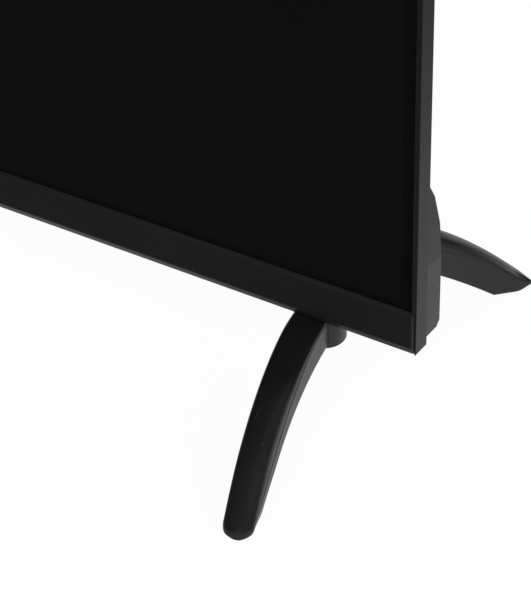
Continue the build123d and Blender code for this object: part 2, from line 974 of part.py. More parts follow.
def socket_holes():
    # Windows in the recess walls and the terminal plate, a little larger than each socket.
    gap = socket_hole_gap
    depth_low = board_back - gap
    reach = recess_wall * 3
    holes = []
    side_sockets = [(rise, hdmi_width, hdmi_thickness) for rise in side_hdmi_rises]
    side_sockets += [(rise, usb_width, usb_thickness) for rise in side_usb_rises]
    side_sockets.append((card_slot_rise, card_slot_width, card_slot_thickness))
    for rise, width, thickness in side_sockets:
        holes.append(block(side_face - reach, side_face + reach, depth_low, board_back + thickness + gap,
                           rise - width / 2 - gap, rise + width / 2 + gap))
    low_sockets = [(low_hdmi_x, hdmi_width, hdmi_thickness), (network_x, network_width, network_thickness)]
    for x, width, thickness in low_sockets:
        holes.append(block(x - width / 2 - gap, x + width / 2 + gap, depth_low, board_back + thickness + gap,
                           low_face - reach, low_face + reach))
    for x in aerial_x:
        holes.append(rod(x, board_back + aerial_radius + slack, low_face - reach, aerial_radius + gap,
                         reach * 2, up))
    for x in audio_jack_x:
        holes.append(rod(x, board_back + jack_size / 2, low_face - reach, jack_ring_radius + gap,
                         reach * 2, up))
    return holes


def terminal_plate():
    # Thin printed plate on the two recess walls, with a window for each socket.
    limit = bulge_depth - cover_wall * 2
    side = block(recess_side, side_face, recess_depth, limit, low_face, recess_top)
    low = block(recess_left, side_face, recess_depth, limit, low_face, recess_low)
    return [cut(side + low, socket_holes())]


def power_inlet_x():
    return inlet_recess_left + inlet_recess_width / 2


def inlet_port():
    x = power_inlet_x()
    depth = inlet_recess_depth + inlet_thickness
    low = inlet_recess_top - slack
    length = inlet_port_depth + slack
    port = block(x - inlet_port_spacing / 2, x + inlet_port_spacing / 2, depth - inlet_port_radius,
                 depth + inlet_port_radius, low, low + length)
    for side in (-1, 1):
        port = port + rod(x + side * inlet_port_spacing / 2, depth, low, inlet_port_radius, length, up)
    return port


def mains_inlet():
    x = power_inlet_x()
    depth = inlet_recess_depth + inlet_thickness
    half = inlet_width / 2
    base = inlet_recess_top + recess_wall
    body = block(x - half, x + half, depth - inlet_thickness / 2, depth + inlet_thickness / 2,
                 inlet_recess_top, inlet_recess_top + inlet_length)
    flange = block(x - half - inlet_flange, x + half + inlet_flange,
                   depth - inlet_thickness / 2 - inlet_flange, depth + inlet_thickness / 2 + inlet_flange,
                   base, base + inlet_flange_thickness)
    inlet = (body + flange) - inlet_port()
    top = inlet_recess_top + inlet_port_depth
    for side in (-1, 1):
        inlet = inlet + rod(x + side * inlet_port_spacing / 2, depth, top, inlet_pin_radius,
                            inlet_pin_length, down)
    return [inlet]


def inset_outline(points, wall):
    # Moves every side of an anticlockwise or clockwise outline inwards by the wall.
    area = sum(a[0] * b[1] - b[0] * a[1] for a, b in zip(points, points[1:] + points[:1])) / 2
    turn = 1 if area > 0 else -1
    moved = []
    for before, here, after in zip(points[-1:] + points[:-1], points, points[1:] + points[:1]):
        first = Vector(here[0] - before[0], here[1] - before[1]).normalized()
        second = Vector(after[0] - here[0], after[1] - here[1]).normalized()
        first_normal = Vector(-first.Y, first.X) * turn
        second_normal = Vector(-second.Y, second.X) * turn
        shift = (first_normal + second_normal) * (wall / (1 + first_normal.dot(second_normal)))
        moved.append((here[0] + shift.X, here[1] + shift.Y))
    return moved


def end_outline():
    shoulder = bulge_end_rise + (bulge_end_top - bulge_end_rise) * bulge_end_shoulder_share
    return [(edge_depth, bulge_underside), (bulge_end_depth - bulge_end_heel, bulge_underside),
            (bulge_end_depth, bulge_underside + bulge_end_heel_rise), (bulge_end_depth, bulge_end_rise),
            (bulge_end_depth - bulge_end_heel, shoulder),
            (edge_depth, bulge_end_top)]


def middle_outline():
    return [(edge_depth, bulge_underside), (bulge_depth - bulge_heel, bulge_underside),
            (bulge_depth, bulge_underside + bulge_heel_rise), (bulge_depth, bulge_flat_top),
            (bulge_brow_depth, bulge_brow_rise), (edge_depth, bulge_top)]


def open_front(points, wall):
    # The inset outline, with its front side carried forward so that the shell stays open there.
    inner = inset_outline(points, wall)
    inner[0] = (edge_depth - cut_overrun, inner[0][1])
    inner[-1] = (edge_depth - cut_overrun, inner[-1][1])
    return inner


def cheek_wedges(end_x):
    # What is cut away so that the bulge's ends lean inwards above their crease.
    reach = bulge_lean_share * (bulge_top - bulge_crease_rise)
    wedges = []
    for side in (-1, 1):
        points = [(side * end_x, bulge_crease_rise), (side * (end_x - reach), bulge_top),
                  (side * half_width, bulge_top), (side * half_width, bulge_crease_rise)]
        wedges.append(Solid.extrude(outline_facing(points, 0), Vector(0, bulge_depth, 0)))
    return wedges


def collar_outline():
    # Just inside the end: in line with the end and the middle, but its upper edges climb less.
    share = bulge_collar_width / bulge_cheek_width
    points = []
    for (end_depth, end_rise), (middle_depth, middle_rise) in zip(end_outline(), middle_outline()):
        climb = (middle_rise - end_rise) * share
        if end_rise >= bulge_end_rise:
            climb = bulge_collar_climb
        points.append((end_depth + (middle_depth - end_depth) * share, end_rise + climb))
    return points


def cover_bulge():
    end_x = half_width - bulge_end_inset
    collar_x = end_x - bulge_collar_width
    ends, collar, middle = end_outline(), collar_outline(), middle_outline()
    places = [(ends, -end_x), (collar, -collar_x), (middle, -bulge_half_width),
              (middle, bulge_half_width), (collar, collar_x), (ends, end_x)]
    faces = [outline_across(outline, x) for outline, x in places]
    return cut(skin_between(faces), cheek_wedges(end_x))


def cover_bulge_hollow():
    end_x = half_width - bulge_end_inset - cover_wall
    collar_x = half_width - bulge_end_inset - bulge_collar_width
    ends = open_front(end_outline(), cover_wall)
    collar = open_front(collar_outline(), cover_wall)
    middle = open_front(middle_outline(), cover_wall)
    places = [(ends, -end_x), (collar, -collar_x), (middle, -bulge_half_width),
              (middle, bulge_half_width), (collar, collar_x), (ends, end_x)]
    faces = [outline_across(outline, x) for outline, x in places]
    return cut(skin_between(faces), cheek_wedges(end_x))


def cover_dish(inset, back_depth, front_depth):
    mouth = (half_width - dish_mouth_inset - inset, bulge_underside + inset,
             body_height - dish_mouth_inset - inset)
    floor = (half_width - dish_back_inset - inset, dish_back_inset + inset,
             body_height - dish_back_inset - inset)
    return frustum(mouth, front_depth, floor, back_depth)


def socket_recess(grow):
    # L-shaped space for plugs beside and below the main board, open to the back and below.
    side = block(recess_side - grow, recess_right + grow, recess_depth - grow, bulge_depth + cut_overrun,
                 -cut_overrun, recess_top + grow)
    low = block(recess_left - grow, recess_right, recess_depth - grow, bulge_depth + cut_overrun,
                -cut_overrun, recess_low + grow)
    return side + low


def inlet_recess(grow):
    return block(inlet_recess_left - grow, inlet_recess_left + inlet_recess_width + grow,
                 inlet_recess_depth - grow, bulge_depth + cut_overrun, -cut_overrun, inlet_recess_top + grow)


def wall_places():
    half = wall_pattern / 2
    return [(x, wall_centre_rise + rise) for x in (-half, half) for rise in (-half, half)]


def cover_screw_places():
    half = half_width - dish_back_inset - cover_screw_edge
    high = body_height - dish_back_inset - cover_screw_edge / 2
    middle = (bulge_top + high) / 2
    return [(-half, high), (-half / 2, high), (0, high), (half / 2, high), (half, high),
            (-half, middle), (half, middle)]


def key_rises():
    return [key_first_rise + key_pitch * index for index in range(key_count)]


def vents():
    # Upright slots across the flat back and on the brow above it.
    low = vent_rise
    span = vent_pitch * vent_count / 2
    cutters = []
    for x in spread(-span, span, vent_count):
        if abs(abs(x) - wall_pattern / 2) > wall_post_radius + vent_pitch:
            if x < recess_side - recess_wall * 2 or x > recess_right + recess_wall * 2:
                cutters.append(block(x - vent_slot_width / 2, x + vent_slot_width / 2,
                                     bulge_depth - cover_wall - slack, bulge_depth + cut_overrun, low,
                                     low + vent_slot_height))
    span = vent_pitch * brow_vent_count / 2
    brow_middle = bulge_flat_top + (bulge_brow_rise - bulge_flat_top) * brow_vent_share
    brow_low = brow_middle - brow_slot_height / 2
    for x in spread(-span, span, brow_vent_count):
        cutters.append(block(x - vent_slot_width / 2, x + vent_slot_width / 2, bulge_brow_depth,
                             bulge_depth, brow_low, brow_low + brow_slot_height))
    return cutters


def sound_slots():
    cutters = []
    for side in (-1, 1):
        x = side * speaker_centre
        for index in range(sound_slot_count):
            rise = speaker_rise + sound_slot_pitch * (index - (sound_slot_count - 1) / 2)
            cutters.append(block(x - sound_slot_length / 2, x + sound_slot_length / 2,
                                 speaker_front + speaker_depth, bulge_depth + cut_overrun,
                                 rise - sound_slot_width / 2, rise + sound_slot_width / 2))
    return cutters


def rear_cover():
    solid = cover_dish(0, dish_depth, edge_depth) + cover_bulge()
    shell = cut(solid, [cover_dish(cover_wall, dish_depth - cover_wall, edge_depth - slack),
                        cover_bulge_hollow()])
    liners = solid & (socket_recess(recess_wall) + inlet_recess(recess_wall))
    shell = cut(shell + liners, [socket_recess(0), inlet_recess(0)])
    inner_back = bulge_depth - cover_wall
    inner_dish = dish_depth - cover_wall
    for x, rise in cover_screw_places():
        shell = shell + rod(x, tray_back, rise, cover_boss_radius, inner_dish - tray_back + slack, back)
    first = key_rises()[0] - key_pitch
    last = key_rises()[-1] + key_pitch
    post_front = key_board_depth + board_thickness
    for rise in (first, last):
        shell = shell + rod(key_centre, post_front, rise, key_post_radius, inner_back - post_front + slack,
                            back)
    cutters = socket_holes() + vents() + sound_slots()
    for x, rise in cover_screw_places():
        cutters.append(rod(x, tray_back - slack, rise, cover_screw_shank + slack, bulge_depth, back))
    for x, rise in wall_places():
        cutters.append(rod(x, inner_back - slack, rise, wall_cover_hole, cover_wall + cut_overrun, back))
    dish_half = key_width / 2 + key_dish_margin
    cutters.append(block(key_centre - dish_half, key_centre + dish_half, bulge_depth - key_dish_depth,
                         bulge_depth + cut_overrun, first, last))
    for rise in key_rises():
        cutters.append(block(key_centre - key_width / 2 - slack, key_centre + key_width / 2 + slack,
                             inner_back - slack, bulge_depth + cut_overrun, rise - key_height / 2 - slack,
                             rise + key_height / 2 + slack))
    x = power_inlet_x()
    depth = inlet_recess_depth + inlet_thickness
    cutters.append(block(x - inlet_width / 2 - slack, x + inlet_width / 2 + slack,
                         depth - inlet_thickness / 2 - slack, depth + inlet_thickness / 2 + slack,
                         inlet_recess_top - slack, inlet_recess_top + recess_wall + slack))
    for side in (-1, 1):
        for depth in foot_screw_depths:
            cutters.append(rod(side * foot_screw_x(depth), depth, bulge_underside - slack, foot_screw_hole,
                               cover_wall + slack * 2, up))
    return [cut(shell, cutters)]


def wall_posts():
    solids = []
    length = bulge_depth - cover_wall - tray_back
    bore_start = tray_back + length - wall_bore_length
    for x, rise in wall_places():
        post = rod(x, tray_back, rise, wall_post_radius, length, back)
        solids.append(post - rod(x, bore_start, rise, wall_hole_radius, length, back))
    return solids


def cover_screws():
    solids = []
    shank_length = dish_depth - tray_depth - slack
    recess_start = dish_depth + cover_screw_head_height / 2
    for x, rise in cover_screw_places():
        head = rod(x, dish_depth, rise, cover_screw_head_radius, cover_screw_head_height, back)
        shank = rod(x, dish_depth, rise, cover_screw_shank, shank_length, forward)
        recess = rod(x, recess_start, rise, socket_recess_radius, cover_screw_head_height, back)
        solids.append((head + shank) - recess)
    return solids


def speaker_box(side):
    x = side * speaker_centre
    half = speaker_width / 2
    low = speaker_rise - speaker_height / 2
    high = speaker_rise + speaker_height / 2
    wall = speaker_wall
    box = block(x - half, x + half, speaker_front, speaker_back, low, high)
    hollow = block(x - half + wall, x + half - wall, speaker_front + wall, speaker_back - wall, low + wall,
                   high - wall)
    hole = rod(x, speaker_back - cut_overrun, speaker_rise, basket_radius - basket_flange + slack,
               cut_overrun * 2, back)
    return [cut(box, [hollow, hole])]


def speaker_frames():
    # Basket with its flange on the box, and the magnet and pole fixed to the basket's floor.
    solids = []
    for side in (-1, 1):
        x = side * speaker_centre
        inner_radius = basket_radius - basket_flange
        floor = speaker_back - basket_height
        flange = rod(x, speaker_back, speaker_rise, basket_radius + basket_flange, basket_wall, back)
        cup = rod(x, floor, speaker_rise, inner_radius, basket_height, back)
        hollow = rod(x, floor + basket_wall, speaker_rise, inner_radius - basket_wall,
                     basket_height + cut_overrun, back)
        magnet = rod(x, floor, speaker_rise, magnet_radius, magnet_height, forward)
        frame = (flange + cup) - hollow + magnet
        gap_outer = coil_former_radius + coil_former_wall + slack
        frame = frame - rod(x, floor + basket_wall * 2, speaker_rise, gap_outer, magnet_height, forward)
        pole = rod(x, floor + basket_wall, speaker_rise, pole_radius, magnet_height, forward)
        surround_back = speaker_back + basket_wall
        surround = rod(x, surround_back - surround_height, speaker_rise, inner_radius - basket_wall,
                       surround_height, back)
        surround_hole = rod(x, speaker_back - cut_overrun, speaker_rise, cone_radius + slack,
                            cut_overrun * 2, back)
        solids.append(frame + pole)
        solids.append(surround - surround_hole)
    return solids


def speaker_cone(side):
    # Dished cone with the coil former that runs in the magnet's gap.
    x = side * speaker_centre
    rim = speaker_back + basket_wall
    floor = rim - cone_height
    outer = taper(x, floor, speaker_rise, coil_former_radius + coil_former_wall, cone_radius,
                  cone_height - cone_wall, back)
    edge = rod(x, rim - cone_wall, speaker_rise, cone_radius, cone_wall, back)
    hollow = taper(x, floor + cone_wall, speaker_rise, coil_former_radius, cone_radius - cone_wall,
                   cone_height - cone_wall, back)
    former_length = magnet_height / 2 + cone_height / 2 - cone_travel
    former = rod(x, floor + cone_wall, speaker_rise, coil_former_radius + coil_former_wall, former_length,
                 forward)
    bore = rod(x, floor, speaker_rise, coil_former_radius, former_length + cut_overrun, forward)
    return [(outer + edge) - hollow + (former - bore)]


def speaker_grommets():
    # Rubber rings that hang each box from the cover's back.
    solids = []
    length = bulge_depth - cover_wall - speaker_back
    across = speaker_width / 2 - grommet_inset
    along = speaker_height / 2 - grommet_inset
    for side in (-1, 1):
        for x in (side * speaker_centre - across, side * speaker_centre + across):
            for rise in (speaker_rise - along, speaker_rise + along):
                ring_solid = rod(x, speaker_back, rise, grommet_radius, length, back)
                solids.append(ring_solid - rod(x, speaker_back - slack, rise, grommet_hole,
                                               length + slack * 2, back))
    return solids


def key_body(index):
    rise = key_rises()[index]
    inner_back = bulge_depth - cover_wall
    cap_front = inner_back - slack - key_flange_thickness
    cap = block(key_centre - key_width / 2, key_centre + key_width / 2, cap_front, bulge_depth + key_proud,
                rise - key_height / 2, rise + key_height / 2)
    cap = cap.fillet(key_round, cap.faces().sort_by(Axis.Y)[-1].edges())
    flange = block(key_centre - key_width / 2 - key_flange, key_centre + key_width / 2 + key_flange,
                   cap_front, cap_front + key_flange_thickness, rise - key_height / 2 - key_flange,
                   rise + key_height / 2 + key_flange)
    stem_end = key_board_depth + board_thickness + switch_height / 2 + key_travel / 2
    stem = rod(key_centre, cap_front, rise, stem_radius, cap_front - stem_end, forward)
    return [cap + flange + stem]


def key_board():
    first = key_rises()[0] - key_pitch - key_post_radius
    last = key_rises()[-1] + key_pitch + key_post_radius
    depth = key_board_depth
    solids = [block(key_centre - key_board_width / 2, key_centre + key_board_width / 2, depth,
                    depth + board_thickness, first, last)]
    for rise in key_rises():
        body = block(key_centre - switch_size / 2, key_centre + switch_size / 2, depth + board_thickness,
                     depth + board_thickness + switch_height, rise - switch_size / 2, rise + switch_size / 2)
        bore_depth = depth + board_thickness + switch_height / 2 - key_travel
        solids.append(body - rod(key_centre, bore_depth, rise, stem_radius + slack, switch_height, back))
    return solids


def ir_window():
    return [block(-window_width / 2, window_width / 2, window_front, window_front + window_depth,
                  -window_drop, frame_wall)]


def ir_board():
    half = sensor_board_width / 2
    board = block(-half, half, window_front, window_front + window_depth, sensor_board_rise,
                  sensor_board_rise + board_thickness)
    sensor = block(-sensor_size / 2, sensor_size / 2, window_front + board_thickness,
                   window_front + board_thickness + sensor_height, sensor_board_rise - sensor_height,
                   sensor_board_rise)
    return [board, sensor]


def power_leads():
    # From the inlet to the power board, from there to the main board, and to the light strips.
    inlet_x = power_inlet_x()
    inlet_depth = inlet_recess_depth + inlet_thickness
    inlet_end = inlet_recess_top + inlet_length
    corner_rise = main_board_rise + lead_margin
    board_x = power_board_left + mains_lead_inset
    mains = [(inlet_x, inlet_depth, inlet_end), (inlet_x, inlet_depth, corner_rise),
             (board_x, inlet_depth, corner_rise), (board_x, board_back, corner_rise)]
    link_rise = board_top - link_lead_drop
    link_start = power_board_left + power_board_width - lead_margin
    link_end = main_board_left + lead_margin
    link = [(link_start, board_back, link_rise), (link_start, lead_level, link_rise),
            (link_end, lead_level, link_rise), (link_end, board_back, link_rise)]
    lamp_x = power_board_left + lamp_lead_inset
    lamp = [(lamp_x, board_back, board_top - lead_margin), (lamp_x, lead_level, board_top - lead_margin),
            (lamp_x, lead_level, board_top + lead_margin), (lamp_x, tray_back, board_top + lead_margin)]
    return [lead(mains, mains_lead_radius), lead(link, link_lead_radius), lead(lamp, lead_radius)]


def speaker_leads():
    left_x = main_board_left + lead_margin
    turn_x = main_board_left - speaker_lead_offset
    start_rise = main_board_rise + main_board_height * speaker_lead_share
    under_rise = main_board_rise - lead_margin
    box_x = speaker_centre - speaker_lead_inset
    left = [(left_x, board_back, start_rise), (left_x, lead_level, start_rise),
            (turn_x, lead_level, start_rise), (turn_x, lead_level, under_rise),
            (-box_x, lead_level, under_rise), (-box_x, lead_level, speaker_rise),
            (-box_x, speaker_front, speaker_rise)]
    right_x = main_board_left + speaker_lead_offset
    over_rise = recess_top + speaker_lead_clearance
    top_rise = board_top - lead_margin
    right_lead = [(right_x, board_back, top_rise), (right_x, lead_level, top_rise),
                  (right_x, lead_level, over_rise), (box_x, lead_level, over_rise),
                  (box_x, lead_level, speaker_rise), (box_x, speaker_front, speaker_rise)]
    return [lead(left, lead_radius), lead(right_lead, lead_radius)]


def control_leads():
    # From the key board over both boards, and from the infrared board up to the main board.
    key_rise = key_rises()[-1]
    over_rise = recess_top + key_lead_clearance
    end_x = main_board_left + key_lead_inset
    end_rise = board_top - key_lead_inset
    key = [(key_centre, key_board_depth, key_rise), (key_centre, lead_level, key_rise),
           (key_centre, lead_level, over_rise), (end_x, lead_level, over_rise),
           (end_x, lead_level, end_rise), (end_x, board_back, end_rise)]
    board_middle = board_front + board_thickness / 2
    sensor_middle = sensor_board_rise + board_thickness / 2
    side_rise = timing_board_rise + timing_board_height + lead_margin
    sensor = [(sensor_lead_x, window_front + window_depth, sensor_middle),
              (sensor_lead_x, board_middle, sensor_middle), (sensor_lead_x, board_middle, side_rise),
              (main_board_left, board_middle, side_rise)]
    return [lead(key, lead_radius), lead(sensor, lead_radius)]


def foot_levels(share, direction):
    # Height above the floor of the arm's top and underside at a share of its length.
    is_front = direction < 0
    linear, square = front_fall_shares if is_front else rear_fall_shares
    heel_share = front_heel_share if is_front else rear_heel_share
    under_power = front_under_power if is_front else rear_under_power
    fall = max(linear * share + square * share ** 2 + (1 - linear - square) * share ** 3, 0)
    drop = min(share / heel_share, 1) ** under_power
    crown_top = foot_height - foot_crown_drop
    crown_under = crown_top - foot_crown_thickness
    top = crown_top - (crown_top - foot_toe_height) * fall
    return top, crown_under - (crown_under - pad_proud) * drop


def foot_section(share, direction):
    # Upright section across the arm at a share of its length, round along the top and the underside.
    x, depth, heading = arm_middle(share, direction)
    top, under = foot_levels(share, direction)
    onward = heading * direction
    middle = Vector(x, front_y + depth, (top + under) / 2)
    plane = Plane(origin=middle, x_dir=Vector(onward.Y, -onward.X, 0), z_dir=onward)
    section = plane * Rectangle(arm_width(share), top - under)
    upper = section.vertices().sort_by(Axis.Z)[2:]
    section = fillet(upper, min(foot_top_round, (top - under) * top_round_share))
    lower = section.vertices().sort_by(Axis.Z)[:2]
    return fillet(lower, min(foot_low_round, (top - under) * low_round_share))


def foot_toe_end(direction):
    # What is cut off around the toe to leave it half an ellipse in plan.
    x, depth, heading, half, toe_round = toe_place(direction)
    plane = Plane(origin=place(x, depth, -foot_height), x_dir=heading, z_dir=Vector(up))
    corner = plane.from_local_coords((0, -foot_width, 0))
    beyond = Solid.make_box(toe_round * 2, foot_width * 2, foot_height,
                            Plane(origin=corner, x_dir=heading, z_dir=Vector(up)))
    return beyond - extrude(plane * Ellipse(toe_round, half), amount=foot_height).solid()


def pad_places():
    return [toe_place(direction)[:2] for direction in (-1, 1)]


def right_foot():
    sections = [foot_section(share, -1) for share in reversed(station_shares)]
    sections.append(foot_section(0, 1))
    sections += [foot_section(share, 1) for share in station_shares]
    arch = loft(sections).solid()
    boss = rod(foot_boss_x, foot_boss_depth, -foot_crown_drop, foot_boss_radius,
               foot_boss_drop - foot_crown_drop, down)
    boss = boss.fillet(foot_boss_round, boss.faces().sort_by(Axis.Z)[0].edges())
    seat = block(foot_crown_x - foot_seat_width / 2, foot_crown_x + foot_seat_width / 2, foot_seat_front,
                 foot_seat_back, -foot_seat_drop, bulge_underside)
    foot = arch + boss + seat
    below = block(0, body_width, -front_reach - cut_overrun, rear_reach + cut_overrun,
                  -foot_height - cut_overrun, pad_proud - foot_height)
    cutters = [foot_toe_end(-1), foot_toe_end(1), below]
    for x, depth in pad_places():
        cutters.append(rod(x, depth, -foot_height, pad_radius + pad_pocket_gap, pad_thickness, up))
    for depth in foot_screw_depths:
        x = foot_screw_x(depth)
        cutters.append(rod(x, depth, -foot_height, foot_screw_hole, foot_height * 2, up))
        cutters.append(rod(x, depth, -foot_height, foot_head_bore, foot_height - foot_screw_seat, up))
    return cut(foot, cutters)


def foot_pads():
    # Round pads that fill pockets under the toes and stand a little proud of them.
    solids = []
    for side in (-1, 1):
        for x, depth in pad_places():
            solids.append(rod(side * x, depth, -foot_height, pad_radius, pad_thickness, up))
    return solids


def foot_screws():
    solids = []
    for side in (-1, 1):
        for depth in foot_screw_depths:
            x = side * foot_screw_x(depth)
            seat = -foot_screw_seat
            length = foot_screw_seat + bulge_underside + cover_wall + bracket_thickness
            shank = rod(x, depth, seat, foot_screw_radius, length, up)
            head = rod(x, depth, seat, foot_screw_head_radius, foot_screw_head_height, down)
            recess = rod(x, depth, seat - foot_screw_head_height / 2, foot_recess_radius,
                         foot_screw_head_height, down)
            solids.append((shank + head) - recess)
    return solids


def foot_brackets():
    solids = []
    low = bulge_underside + cover_wall
    for side in (-1, 1):
        x = side * foot_crown_x
        half = bracket_width / 2
        floor = block(x - half, x + half, edge_depth + cover_wall, bracket_floor_back + bracket_thickness,
                      low, low + bracket_thickness)
        wall = block(x - half, x + half, tray_back, tray_back + bracket_thickness, low, low + bracket_height)
        bracket = floor + wall
        for depth in foot_screw_depths:
            hole_radius = foot_screw_radius + bracket_hole_gap
            bracket = bracket - rod(side * foot_screw_x(depth), depth, 0, hole_radius, bracket_height, up)
        solids.append(bracket)
    return solids


def write_parts():
    os.makedirs("parts", exist_ok=True)
    foot = right_foot()
    parts = {
        "front_frame": front_frame(),
        "bottom_trim": bottom_trim(),
        "lcd_panel": lcd_panel(),
        "panel_tape": panel_tape(),
        "middle_frame": middle_frame(),
        "prism_film": sheet_layer(shelf_back, prism_back),
        "diffuser_film": sheet_layer(prism_back, diffuser_back),
        "diffuser_plate": sheet_layer(diffuser_back, plate_back),
        "reflector_sheet": reflector_sheet(),
        "backlight_tray": backlight_tray(),
        "led_strips": led_strips(),
        "led_lenses": led_lenses(),
        "support_pins": support_pins(),
        "source_boards": source_boards(),
        "panel_flexes": panel_flexes(),
        "timing_board": timing_board(),
        "flat_cables": flat_cables(),
        "main_board": [circuit_board(main_board_left, main_board_width)],
        "main_board_chips": main_board_chips(),
        "heat_sink": heat_sink(),
        "tuner_can": tuner_can(),
        "power_board": [circuit_board(power_board_left, power_board_width)],
        "power_board_parts": power_board_parts(),
        "power_heat_sinks": power_heat_sinks(),
        "board_standoffs": board_standoffs(),
        "board_screws": board_screws(),
        "hdmi_sockets": hdmi_sockets(),
        "usb_sockets": usb_sockets(),
        "network_socket": network_socket(),
        "card_slot": card_slot(),
        "aerial_sockets": aerial_sockets(),
        "audio_jacks": audio_jacks(),
        "terminal_plate": terminal_plate(),
        "mains_inlet": mains_inlet(),
        "rear_cover": rear_cover(),
        "wall_posts": wall_posts(),
        "cover_screws": cover_screws(),
        "speaker_box_left": speaker_box(-1),
        "speaker_box_right": speaker_box(1),
        "speaker_frames": speaker_frames(),
        "speaker_grommets": speaker_grommets(),
        "speaker_cone_left": speaker_cone(-1),
        "speaker_cone_right": speaker_cone(1),
        "key_board": key_board(),
        "ir_window": ir_window(),
        "ir_board": ir_board(),
        "power_leads": power_leads(),
        "speaker_leads": speaker_leads(),
        "control_leads": control_leads(),
        "foot_right": [foot],
        "foot_left": [mirror(foot, about=Plane.YZ)],
        "foot_pads": foot_pads(),
        "foot_screws": foot_screws(),
        "foot_brackets": foot_brackets(),
    }
    key_names = ("power", "source", "volume_up", "volume_down", "channel_up", "channel_down")
    for index, name in enumerate(key_names):
        parts["key_" + name] = key_body(index)
    for node, solids in parts.items():
        export_step(Compound(solids), os.path.join("parts", node + ".step"))


write_parts()
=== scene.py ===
import bmesh
import bpy
import json
import math
import numpy as np
from mathutils import Matrix, Vector


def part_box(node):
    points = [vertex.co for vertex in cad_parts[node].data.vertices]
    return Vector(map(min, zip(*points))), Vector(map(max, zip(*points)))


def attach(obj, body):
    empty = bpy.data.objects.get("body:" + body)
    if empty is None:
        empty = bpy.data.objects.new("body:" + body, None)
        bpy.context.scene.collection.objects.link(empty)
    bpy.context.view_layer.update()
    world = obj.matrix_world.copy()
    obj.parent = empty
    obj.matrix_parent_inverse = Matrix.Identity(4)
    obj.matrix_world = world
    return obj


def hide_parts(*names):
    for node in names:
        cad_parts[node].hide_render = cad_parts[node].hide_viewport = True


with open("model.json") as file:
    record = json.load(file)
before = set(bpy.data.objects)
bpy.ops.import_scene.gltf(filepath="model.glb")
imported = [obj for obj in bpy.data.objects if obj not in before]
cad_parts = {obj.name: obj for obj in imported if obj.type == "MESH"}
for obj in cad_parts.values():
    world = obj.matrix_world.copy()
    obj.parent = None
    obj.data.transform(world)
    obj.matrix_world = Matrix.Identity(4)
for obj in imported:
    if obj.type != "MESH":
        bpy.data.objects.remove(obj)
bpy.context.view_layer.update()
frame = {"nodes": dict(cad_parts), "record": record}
mm = 0.001                                      # sizes below are millimetres

# The camera looks down past the lower right corner of the screen.
shot = {
    "pixels": (531, 600),
    "focalPixels": 1870.6,
    "azimuth": 34.693,
    "elevation": 35.094,
    "roll": -2.098,
    "fromCorner": (294.22, -529.96, 454.35),    # from the body's lower right front corner
    "sensor": 36.0,
}


def aimCamera():
    low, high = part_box("front_frame")
    corner = Vector((high.x, low.y, low.z))
    azimuth, elevation, roll = (math.radians(shot[key]) for key in ("azimuth", "elevation", "roll"))
    backward = Vector((math.sin(azimuth) * math.cos(elevation),
                       -math.cos(azimuth) * math.cos(elevation), math.sin(elevation)))
    level = Vector((math.cos(azimuth), math.sin(azimuth), 0))
    upright = backward.cross(level)
    right = level * math.cos(roll) + upright * math.sin(roll)
    up = upright * math.cos(roll) - level * math.sin(roll)
    lens = bpy.data.cameras.new("camera")
    lens.sensor_width = shot["sensor"]
    lens.lens = shot["focalPixels"] * shot["sensor"] / max(shot["pixels"])
    camera = bpy.data.objects.new("camera", lens)
    bpy.context.scene.collection.objects.link(camera)
    turn = Matrix((right, up, backward)).transposed().to_4x4()
    camera.matrix_world = Matrix.Translation(corner + Vector(shot["fromCorner"]) * mm) @ turn
    bpy.context.scene.camera = camera


aimCamera()
bpy.context.scene.view_settings.view_transform = "Standard"
print("camera placed")


class Signal:                                   # one output socket, usable in sums
    def __init__(self, graph, socket):
        self.graph = graph
        self.socket = socket

    def of(self, output):                       # another output of the same node
        return Signal(self.graph, self.socket.node.outputs[output])

    def __add__(self, other):
        return self.graph.calc("ADD", self, other)

    def __radd__(self, other):
        return self.graph.calc("ADD", other, self)

    def __sub__(self, other):
        return self.graph.calc("SUBTRACT", self, other)

    def __rsub__(self, other):
        return self.graph.calc("SUBTRACT", other, self)

    def __mul__(self, other):
        return self.graph.calc("MULTIPLY", self, other)

    def __truediv__(self, other):
        return self.graph.calc("DIVIDE", self, other)

    def __mod__(self, other):
        return self.graph.calc("FLOORED_MODULO", self, other)

    def __gt__(self, other):
        return self.graph.calc("GREATER_THAN", self, other)

    def __lt__(self, other):
        return self.graph.calc("LESS_THAN", self, other)


